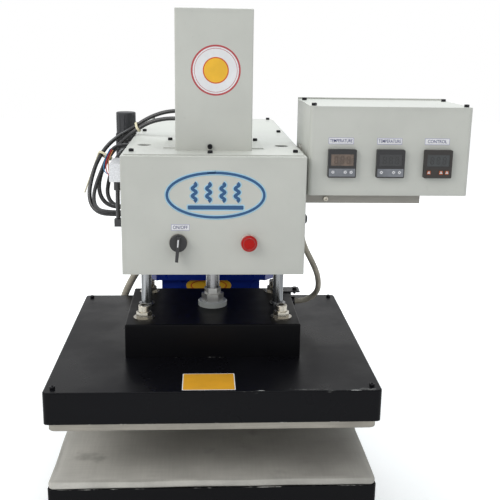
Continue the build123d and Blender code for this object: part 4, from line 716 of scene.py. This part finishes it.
PLATEN_ALUMINIUM = metal("platen_aluminium", (0.27, 0.255, 0.225), 0.5, grain=(0.03, 1.0, 1.0), stain=0.45,
                         specks=0.35)
CHROME = metal("hard_chrome", (0.20, 0.207, 0.215), 0.2, grain=(1.0, 1.0, 0.01), stain=0.1, specks=0.05,
               contrast=0.75, fine=230.0)
ROD_STEEL = metal("ground_rod", (0.185, 0.185, 0.19), 0.22, grain=(1.0, 1.0, 0.01), stain=0.15, specks=0.05,
                  contrast=0.8, fine=260.0)
NICKEL = metal("nickel_plate", (0.43, 0.405, 0.35), 0.22, stain=0.12, specks=0.0, contrast=0.06, fine=1400.0)
TURNED = metal("turned_steel", (0.5, 0.5, 0.5), 0.3, grain=(1.0, 1.0, 6.0))
BLACK_OXIDE = metal("black_oxide", (0.025, 0.025, 0.028), 0.38, stain=0.1, specks=0.1)
ANODISED = metal("anodised", (0.66, 0.67, 0.69), 0.35)
BOARD = plastic("fibre_board", (0.62, 0.58, 0.50), 0.9, grain=0.0003, cloud=0.15)
BLACK_PLASTIC = plastic("black_plastic", (0.014, 0.014, 0.016), 0.42, grain=0.00005)
KNOB_PLASTIC = plastic("knob_plastic", (0.022, 0.023, 0.027), 0.5, grain=0.00006)
KEY_GREY = plastic("key_grey", (0.26, 0.27, 0.30), 0.45)
KEY_BROWN = plastic("key_brown", (0.38, 0.075, 0.014), 0.45)
SWITCH_PALE = plastic("switch_pale", (0.40, 0.38, 0.34), 0.4)
COLLAR_PALE = plastic("collar_pale", (0.56, 0.42, 0.38), 0.3, coat=0.4)
RED_CAP = plastic("red_cap", RED, 0.3, specular=0.15)
TIE_CREAM = plastic("tie_cream", (0.66, 0.60, 0.42), 0.4)
FITTING_BLACK = plastic("fitting_black", (0.018, 0.018, 0.02), 0.35, coat=0.2)

for finish, cad_nodes in (
    (PLATEN_ALUMINIUM, ("heat_platen", "bed_plate")),
    (ANODISED, ("bed_pillars", "cylinder_tube", "cylinder_caps", "solenoid_valve")),
    (CHROME, ("guide_rods",)),
    (ROD_STEEL, ("piston_rod",)),
    (NICKEL, ("riser_bolts", "frame_bolts", "bed_bolts")),
    (BLACK_OXIDE, ("terminal_bracket",)),
    (TURNED, ("guide_bushes",)),
    (BOARD, ("bed_insulation", "platen_insulation")),
    (SWITCH_PALE, ("selector_switch",)),
    (BLACK_PLASTIC, ("selector_knob", "regulator_body", "valve_coil")),
    (KNOB_PLASTIC, ("regulator_knob",)),
    (FITTING_BLACK, ("air_fittings", "cable_glands")),
    (COLLAR_PALE, ("push_button_switch",)),
    (RED_CAP, ("push_button",)),
    (TIE_CREAM, ("cable_ties",)),
):
    for cad_node in cad_nodes:
        dress(cad_node, finish)
for side in ("left", "middle", "right"):
    for number in (1, 2, 3):
        dress(f"meter_{side}_key_{number}", KEY_BROWN if side == "right" else KEY_GREY)


def clear_bowl():
    """Clear polycarbonate for the regulator's bowl."""
    finish = Finish("bowl_clear", (0.85, 0.88, 0.90), 0.08)
    finish.shader.inputs["Transmission Weight"].default_value = 0.9
    finish.shader.inputs["IOR"].default_value = 1.58
    mottle = finish.group(MOTTLE, Scale=20.0)
    finish.rough(mottle["Clouds"], 0.05, 0.16)
    return finish.material


dress("regulator_bowl", clear_bowl())


def two_tone(name, colour, other, centre, half, roughness=0.4, metallic=0.0):
    """Moulded or painted in one colour, with another inside a box."""
    finish = Finish(name, colour, roughness, metallic=metallic)
    tree = finish.tree
    mottle = finish.group(MOTTLE, Scale=24.0)
    zone = finish.group(INSIDE, Centre=centre, Half_Size=half, Softness=0.0002)["Mask"]
    base = mix_colour(tree, zone, colour, other)
    base = tint(tree, base, mottle["Clouds"], 0.3, shade(colour, 0.6))
    finish.colour(base)
    finish.rough(mottle["Clouds"], roughness * 0.85, roughness * 1.2)
    if metallic:
        finish.metal(math_node(tree, "SUBTRACT", metallic, zone, True))
    finish.bump(mottle["Grain"], 0.00004)
    return finish.material


# The rod's foot: its disc is painted, the coupling and the nut above it are bare.
foot_low, foot_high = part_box("piston_foot")
foot_disc_at = (*((foot_low + foot_high) / 2).xy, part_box("riser_box")[1].z + 0.005)
ROD_FOOT = two_tone("rod_foot", (0.52, 0.52, 0.50), PALE_PAINT, foot_disc_at, (0.04, 0.04, 0.0052), 0.3, 1.0)
dress("piston_foot", ROD_FOOT)

bracket_low, bracket_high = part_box("control_box_bracket")
on_bracket, on_covers = [], []
for screw_box in loose_boxes("cover_screws"):
    hangs = screw_box[0].z < bracket_high.z - 0.004 and screw_box[0].x > bracket_low.x + 0.02
    (on_bracket if hangs else on_covers).append(screw_box)
socket_screws("lid_and_box_screws", on_covers, "cover_screws", BLACK_OXIDE, "machine")
socket_screws("bracket_screw", on_bracket, "cover_screws", NICKEL, "machine")
socket_screws("platen_corner_screws", loose_boxes("platen_screws"), "platen_screws", BLACK_OXIDE, "platen")


# Panel meters

FOIL_WHITE = label("foil_white", LABEL_WHITE)
INK_BLUE = label("ink_blue", LABEL_BLUE)
KEY_MARK = label("key_mark", (0.70, 0.70, 0.72))
KEY_DOT = label("key_dot", (0.16, 0.16, 0.18))
GLASS_DARK = (0.006, 0.007, 0.009)
GLASS_SLATE = (0.012, 0.016, 0.018)
GLASS_BROWN = (0.105, 0.070, 0.050)
WINDOW_SIZE = (39.0, 20.0)
WINDOW_UP = 6.0
WINDOW_DEPTH = 1.2
PANEL_UP = -15.2
PANEL_SIZE = (45.0, 13.6)
DIGIT_SIZE = (6.4, 13.0)
DIGIT_STEP = 10.5
BAR_W = 1.5
BAR_T = 0.1
MARK_D = 6.1
DOT_D = 2.2


def window_glass(name, colour, roughness):
    """A dark glossy display window with a soft reflection in it."""
    finish = Finish(name, colour, roughness, coat=0.6)
    tree = finish.tree
    mottle = finish.group(MOTTLE, Scale=60.0)
    finish.colour(mix_colour(tree, mottle["Clouds"], shade(colour, 0.7), shade(colour, 1.35)))
    finish.rough(mottle["Clouds"], roughness, roughness * 1.6)
    return finish.material


def add_bar(form, x, y, width, height):
    """One bar of a display digit, in millimetres."""
    bar = bmesh.ops.create_cube(form, size=1.0)["verts"]
    bmesh.ops.scale(form, verts=bar, vec=(width * MM, height * MM, BAR_T * MM))
    bmesh.ops.translate(form, verts=bar, vec=(x * MM, y * MM, BAR_T / 2 * MM))


def add_digit(form, middle):
    """The seven bars of an unlit digit."""
    width, height = DIGIT_SIZE
    for step in (-1, 0, 1):
        add_bar(form, middle, step * (height - BAR_W) / 2, width - 2 * BAR_W, BAR_W)
    for side in (-1, 1):
        for half in (-1, 1):
            add_bar(form, middle + side * (width - BAR_W) / 2, half * height / 4, BAR_W, height / 2 - BAR_W)


def make_meter(side, bezel, panel, glass, bars, key_mark_sides):
    """Dresses a meter and adds its window, unlit digits and the marks on its keys."""
    node = f"meter_{side}"
    middle = front_of(node)
    panel_centre = (middle.x * MM, middle.y * MM, (middle.z + PANEL_UP) * MM)
    panel_half = (PANEL_SIZE[0] / 2 * MM, 0.0006, PANEL_SIZE[1] / 2 * MM)
    dress(node, two_tone(f"{node}_face", bezel, panel, panel_centre, panel_half))
    window_at = middle + Vector((0, WINDOW_DEPTH, WINDOW_UP))
    window = plate_form(WINDOW_SIZE[0] - 0.2, WINDOW_SIZE[1] - 0.2, 0.8, 0.3)
    finish_form(f"{node}_window", window, FACING_FRONT, window_at, glass)
    form = bmesh.new()
    for step in (-1, 0, 1):
        add_digit(form, step * DIGIT_STEP)
    finish_form(f"{node}_digits", form, FACING_FRONT, window_at - Vector((0, 0.3, 0)), bars)
    for number in (1, 2, 3):
        key = f"meter_{side}_key_{number}"
        for part, width, thickness, ink in (("mark", MARK_D, 0.12, KEY_MARK), ("dot", DOT_D, 0.2, KEY_DOT)):
            finish_form(f"{key}_{part}", disc_form(width, width, thickness, key_mark_sides), FACING_FRONT,
                        front_of(key), ink, f"{side}_key_{number}")


METER_DARK = (0.013, 0.013, 0.015)
METER_BLACK = (0.014, 0.011, 0.010)
PANEL_BROWN = (0.020, 0.012, 0.009)
DIGIT_FAINT = plastic("digit_faint", (0.020, 0.021, 0.022), 0.35)
DIGIT_BROWN = plastic("digit_brown", (0.070, 0.045, 0.033), 0.35)
make_meter("left", METER_DARK, PANEL_GREY, window_glass("window_brown", GLASS_BROWN, 0.22), DIGIT_BROWN, 4)
make_meter("middle", METER_DARK, PANEL_GREY, window_glass("window_dark", GLASS_DARK, 0.12), DIGIT_FAINT, 4)
make_meter("right", METER_BLACK, PANEL_BROWN, window_glass("window_slate", GLASS_SLATE, 0.12), DIGIT_FAINT, 3)


# Labels

FOIL_EDGE = label("foil_edge", LABEL_EDGE)
LABEL_BORDER = 0.8
METER_LABEL_UP = 13.5


def print_label(name, size, text, height, width, at):
    """A white foil with a thin border and bold letters, facing the front."""
    finish_form(name + "_edge", plate_form(*size, 1.0, 0.1), FACING_FRONT, at, FOIL_EDGE)
    field = plate_form(size[0] - 2 * LABEL_BORDER, size[1] - 2 * LABEL_BORDER, 0.7, 0.15)
    finish_form(name, field, FACING_FRONT, at, FOIL_WHITE)
    words(name + "_words", text, height, width, at - Vector((0, 0.2, 0)))


METER_LABELS = {"left": ("TEMPERATURE", 38.5), "middle": ("TEMPERATURE", 38.5), "right": ("CONTROL", 33)}
box_front = front_of("control_box").y
for side, (text, width) in METER_LABELS.items():
    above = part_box(f"meter_{side}")[1].z / MM + METER_LABEL_UP
    at = Vector((front_of(f"meter_{side}").x - 2, box_front, above))
    print_label(f"label_{side}", (43, 11), text, 5.4, width, at)

head_front = front_of("head_housing").y
SWITCH_LABEL_AT = Vector((-56.5, head_front, 577.5))
print_label("label_switch", (31, 11), "ON/OFF", 5.6, 25, SWITCH_LABEL_AT)

# The front's emblem: an oval round four rising heat waves over a plate
SIGN_AT = Vector((3, head_front, 633))
# End of the name, extra width and thickness of each ink's strokes
SIGN_INKS = (("_glow", 3.5, 0.12, label("sign_glow", SIGN_HALO, 0.4)),
             ("", 0, 0.3, label("sign_ink", SIGN_BLUE, 0.4)))
oval = [(82 * math.cos(turn), 38 * math.sin(turn)) for turn in (math.radians(a) for a in range(90, 461, 10))]
for kind, wider, thickness, ink in SIGN_INKS:
    brush_stroke(f"sign_oval{kind}", oval, 5 + wider, thickness, SIGN_AT, ink)
for number, wave_x in enumerate((-36, -12, 12, 36)):
    wave = [(wave_x + 4.5 * math.sin(step * math.pi / 2), -11 + 3.2 * step) for step in range(11)]
    for kind, wider, thickness, ink in SIGN_INKS:
        brush_stroke(f"sign_wave{kind}_{number}", wave, 6 + wider, thickness, SIGN_AT, ink)
for (kind, *_, ink), plate in zip(SIGN_INKS, ((98, 11, 3, 0.1), (94, 7, 2, 0.25))):
    finish_form(f"sign_plate{kind}", plate_form(*plate), FACING_FRONT, SIGN_AT - Vector((0, 0, 21)), ink)


def rings(name, ink_name, discs, at):
    """Printed discs or ovals on each other: width, height and colour of each."""
    for number, (width, height, colour) in enumerate(discs):
        disc = disc_form(width, height, 0.08 * (number + 1), 96)
        finish_form(f"{name}_{number}", disc, FACING_FRONT, at, label(f"{ink_name}_{number}", colour))


# The tower's round sticker, the column's oval and the platen cover's plain amber label
STICKER = [(84, 84, STICKER_RED), (78, 78, LABEL_WHITE), (73, 73, STICKER_RED), (71.5, 71.5, LABEL_WHITE),
           (44, 44, ORANGE_RED), (40, 40, YELLOW)]
COLUMN_OVAL = [(104, 44, YELLOW), (84, 30, ORANGE_RED), (78, 25, YELLOW)]
COLUMN_FACE_Y = 190.0
rings("tower_sticker", "sticker_ink", STICKER, Vector((3, front_of("tower_cover").y, 836)))
rings("column_oval", "oval_ink", COLUMN_OVAL, Vector((-5, COLUMN_FACE_Y, 337)))
AMBER_AT = Vector((-8.5, -358.5, cover_high.z / MM))
for part, inset, lift, colour in (("edge", 0, 0.12, LABEL_WHITE), ("field", 3, 0.2, AMBER)):
    finish_form(f"cover_label_{part}", plate_form(87 - inset, 67 - inset, 1.5, lift), FACING_UP, AMBER_AT,
                label(f"cover_label_{part}_ink", colour), "platen")

# Selector line and button rim
LEVER_LEAN = Matrix.Rotation(math.radians(5), 4, "Y")
knob_front = front_of("selector_knob")
finish_form("selector_line", plate_form(2.2, 13, 0.6, 0.15), LEVER_LEAN @ FACING_FRONT,
            Vector((knob_front.x, knob_front.y, 554.5)), KEY_MARK, "selector")
form = bmesh.new()
rim = [(9.4, 0.0), (9.8, 0.5), (10.6, 0.5), (11.0, 0.0), (9.4, 0.0)]
add_lathe(form, [(radius * MM, height * MM) for radius, height in rim], FACING_UP, 48)
# The rim is the button's red darkened: painted shade on its bevel.
SHADED_RED_RIM = plastic("shaded_red_rim", shade(RED, 0.7), 0.3, coat=0.4)
finish_form("button_rim", form, FACING_FRONT, front_of("push_button"), SHADED_RED_RIM, "button")


# Bed pad

PAD_STEP = 0.004
PAD_SWELL = 0.0013
PAD_CROWN = 0.0022
PAD_RIM_IN = 0.0006
PAD_OVER_RIM = 0.0004
PAD_PROUD = 0.0006
PAD_CORNER = 0.008
PAD_EDGE = 0.0008
PAD_RIPPLE = 0.0011
PAD_WAVE = 0.0014
PAD_PULL_IN = (0.0008, 0.0010)


def pad_cloth():
    """Press cloth: woven and grey, worn, sooty and in painted shade towards the middle and the right, in
    painted light on the left, with a paler rim.
    """
    finish = Finish("pad_cloth", CLOTH_GREY, 0.85)
    tree = finish.tree
    mottle = finish.group(MOTTLE, Scale=3.2)
    weave = finish.group(WEAVE, Threads_per_Metre=520.0)
    base = mix_colour(tree, mottle["Clouds"], CLOTH_DARK, CLOTH_GREY)
    low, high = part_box("bed_tray")
    middle = (low + high) / 2
    half = (high - low) / 2 + Vector((0, 0, 0.1))
    # Darker middle, moved to the right and widened towards the front: wear together with a painted shadow of
    # the platen on the cloth.
    worn_and_shaded_half = half + Vector((-0.02, 0.02, 0))
    worn = finish.group(INSIDE, Centre=tuple(middle + Vector((0.065, 0, 0))), Half_Size=tuple(worn_and_shaded_half),
                        Softness=0.17)["Mask"]
    base = tint(tree, base, worn, 0.9, CLOTH_DARK)
    # A mask that grows towards the right: painted light makes the cloth paler on the left, where the lamp
    # falls, and painted shade darkens it on the right further down.
    right = finish.group(INSIDE, Centre=tuple(middle + Vector((0.27, 0, 0))), Half_Size=(0.4, 1.0, 1.0),
                         Softness=0.3)["Mask"]
    base = tint(tree, base, rest_of(tree, right), 0.55, shade(CLOTH_GREY, 1.15))
    blots = ramp(tree, noise_node(tree, finish.where, 11.0, 4.0, 0.6), 0.56, 0.72)
    base = tint(tree, base, blots, 0.45, shade(CLOTH_DARK, 0.8))
    edge = finish.group(INSIDE, Centre=tuple(middle), Half_Size=tuple(half - Vector((0.007, 0.007, 0))),
                        Softness=0.005)["Mask"]
    rim_stains = ramp(tree, noise_node(tree, finish.where, 12.0, 4.0, 0.6), 0.35, 0.75)
    rim = mix_colour(tree, rim_stains, shade(CLOTH_GREY, 0.95), shade(CLOTH_GREY, 0.72))
    base = mix_colour(tree, rest_of(tree, edge), base, rim)
    # Painted shade on the right of the pad.
    base = tint(tree, base, right, 0.35, CLOTH_DARK)
    base = tint(tree, base, weave["Shade"], 0.35, shade(CLOTH_DARK, 0.9))
    finish.colour(base)
    finish.rough(mottle["Clouds"], 0.78, 0.92)
    finish.bump(weave["Height"], 0.0002, 0.6)
    return finish.material


def add_slab(form, low, high):
    """Adds a closed slab with round corners between two points."""
    slab = bmesh.ops.create_cube(form, size=1.0)["verts"]
    bmesh.ops.scale(form, verts=slab, vec=high - low)
    bmesh.ops.translate(form, verts=slab, vec=(low + high) / 2)
    upright = [e for v in slab for e in v.link_edges if abs(e.verts[0].co.z - e.verts[1].co.z) > 1e-5]
    made = bmesh.ops.bevel(form, geom=list(set(upright)), offset=PAD_CORNER, affect="EDGES", segments=5,
                           profile=0.5, material=-1)
    flat = {e for f in made["faces"] for v in f.verts for e in v.link_edges
            if abs(e.verts[0].co.z - e.verts[1].co.z) < 1e-6}
    bmesh.ops.bevel(form, geom=list(flat), offset=PAD_EDGE, affect="EDGES", segments=2, profile=0.5,
                    material=-1)


def square_edges(pad, middle, reach, bottom, top):
    """Brings the rounded rim of the remeshed pad back towards a square section."""
    half, centre = (top - bottom) / 2, (top + bottom) / 2
    for v in pad.data.vertices:
        away = v.co - middle
        height = (v.co.z - centre) / half
        for axis in (0, 1):
            out = (abs(away[axis]) - reach[axis]) / half + 1
            if out <= 0.25 or abs(height) > 1.4:
                continue
            grow = 1 / max(out, abs(height)) if max(out, abs(height)) < 1 else 1
            grow = min(grow, 1.35)
            v.co[axis] = middle[axis] + math.copysign(reach[axis] + (out * grow - 1) * half, away[axis])
            v.co.z = centre + height * grow * half


def make_pad():
    """The bed's pad: a sponge in cloth, swollen by simulation, whose wavy edge lies over the tray's rim."""
    low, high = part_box("bed_pad")
    tray_low, tray_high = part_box("bed_tray")
    reach = Vector(((tray_high.x - tray_low.x) / 2 - PAD_RIM_IN,
                    (tray_high.y - tray_low.y) / 2 - PAD_RIM_IN, 0))
    middle = (low + high) / 2
    thickness = Vector((0, 0, (high.z - low.z) / 2))
    form = bmesh.new()
    add_slab(form, middle - reach - thickness, middle + reach + thickness)
    pad = finish_form("press_pad", form, FACING_UP, (0, 0, 0), pad_cloth())
    remesh = pad.modifiers.new("remesh", "REMESH")
    remesh.mode = "VOXEL"
    remesh.voxel_size = PAD_STEP
    settle(pad)
    swell(pad)
    square_edges(pad, middle, reach, low.z + PAD_OVER_RIM, high.z + PAD_PROUD)
    for v in pad.data.vertices:
        u, w = (v.co.x - middle.x) / reach.x, (v.co.y - middle.y) / reach.y
        up = max(0.0, min(1.0, (v.co.z - low.z) / (high.z - low.z)))
        crown = (1 - min(1, u * u)) * (1 - min(1, w * w))
        ripple = noise.noise(Vector((v.co.x * 9, v.co.y * 9, 3.1))) + 0.5 * noise.noise(v.co * 27)
        v.co.z += up * (PAD_CROWN * crown + PAD_RIPPLE * ripple)
        wave = PAD_WAVE * noise.noise(Vector((v.co.x * 11, v.co.y * 11, 8.0)))
        v.co.x += wave * abs(u) ** 8 - PAD_PULL_IN[0] * abs(u) ** 8 * u * (1 - min(1, w * w))
        v.co.y += wave * abs(w) ** 8 - PAD_PULL_IN[1] * abs(w) ** 8 * w * (1 - min(1, u * u))
        v.co.z = max(v.co.z, low.z + PAD_OVER_RIM)
    for face in pad.data.polygons:
        face.use_smooth = True
    finer = pad.modifiers.new("finer", "SUBSURF")
    finer.levels = 1
    finer.render_levels = 1
    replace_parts(pad, "bed_pad")
    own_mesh(pad)


def settle(piece):
    """Applies a piece's modifiers to its mesh."""
    bpy.context.view_layer.update()
    evaluated = piece.evaluated_get(bpy.context.evaluated_depsgraph_get())
    mesh = bpy.data.meshes.new_from_object(evaluated)
    piece.modifiers.clear()
    old = piece.data
    piece.data = mesh
    bpy.data.meshes.remove(old)


def swell(piece):
    """Swells a closed cloth skin with a little pressure, and caps how far any point may move."""
    before = [v.co.copy() for v in piece.data.vertices]
    cloth = piece.modifiers.new("cloth", "CLOTH")
    cloth.settings.use_pressure = True
    cloth.settings.uniform_pressure_force = 4.0
    cloth.settings.effector_weights.gravity = 0.0
    cloth.settings.quality = 4
    cloth.point_cache.frame_start = 1
    cloth.point_cache.frame_end = 20
    for number in range(1, 21):
        bpy.context.scene.frame_set(number)
    settle(piece)
    bpy.context.scene.frame_set(1)
    for v, start in zip(piece.data.vertices, before):
        move = v.co - start
        if move.length > PAD_SWELL:
            v.co = start + move.normalized() * PAD_SWELL


make_pad()


# Stage and light

def seeing_rays(tree):
    """A value that is 1 for the rays that show the background: in the camera, in gloss and through glass."""
    rays = tree.nodes.new("ShaderNodeLightPath")
    seen = math_node(tree, "ADD", rays.outputs["Is Camera Ray"], rays.outputs["Is Glossy Ray"], True)
    return math_node(tree, "ADD", seen, rays.outputs["Is Transmission Ray"], True)


def make_stage():
    """A plain pale floor, a pale world and soft lamps."""
    mesh = bpy.data.meshes.new("floor")
    form = bmesh.new()
    bmesh.ops.create_grid(form, x_segments=1, y_segments=1, size=8.0)
    form.to_mesh(mesh)
    form.free()
    finish = Finish("floor_pale", (0.86, 0.86, 0.86), 0.9)
    tree = finish.tree
    away = tree.nodes.new("ShaderNodeVectorMath")
    away.operation = "LENGTH"
    tree.links.new(finish.where, away.inputs[0])
    glow = ramp(tree, away.outputs["Value"], *FLOOR_GLOW_RADII, *FLOOR_GLOW)
    finish.shader.inputs["Emission Color"].default_value = (1, 1, 1, 1)
    glow_seen = math_node(tree, "MULTIPLY", seeing_rays(tree), glow)
    tree.links.new(glow_seen, finish.shader.inputs["Emission Strength"])
    link("floor", mesh, finish.material)
    world = bpy.data.worlds.new("studio")
    bpy.context.scene.world = world
    world.use_nodes = True
    tree = world.node_tree
    light = tree.nodes["Background"]
    light.inputs["Color"].default_value = (0.93, 0.97, 1.0, 1)
    light.inputs["Strength"].default_value = WORLD_LIGHT
    white = tree.nodes.new("ShaderNodeBackground")
    white.inputs["Color"].default_value = (1, 1, 1, 1)
    either = tree.nodes.new("ShaderNodeMixShader")
    tree.links.new(seeing_rays(tree), either.inputs[0])
    tree.links.new(light.outputs[0], either.inputs[1])
    tree.links.new(white.outputs[0], either.inputs[2])
    tree.links.new(either.outputs[0], tree.nodes["World Output"].inputs["Surface"])
    for lamp_name, at, size, power, colour in LAMPS:
        lamp = bpy.data.lights.new(lamp_name, "AREA")
        lamp.size = size
        lamp.energy = power
        lamp.color = colour
        aim = (LAMPS_AIM - Vector(at)).to_track_quat("-Z", "Y").to_matrix().to_4x4()
        link(lamp_name, lamp).matrix_world = Matrix.Translation(at) @ aim
    bpy.context.scene.view_settings.view_transform = "Standard"


make_stage()
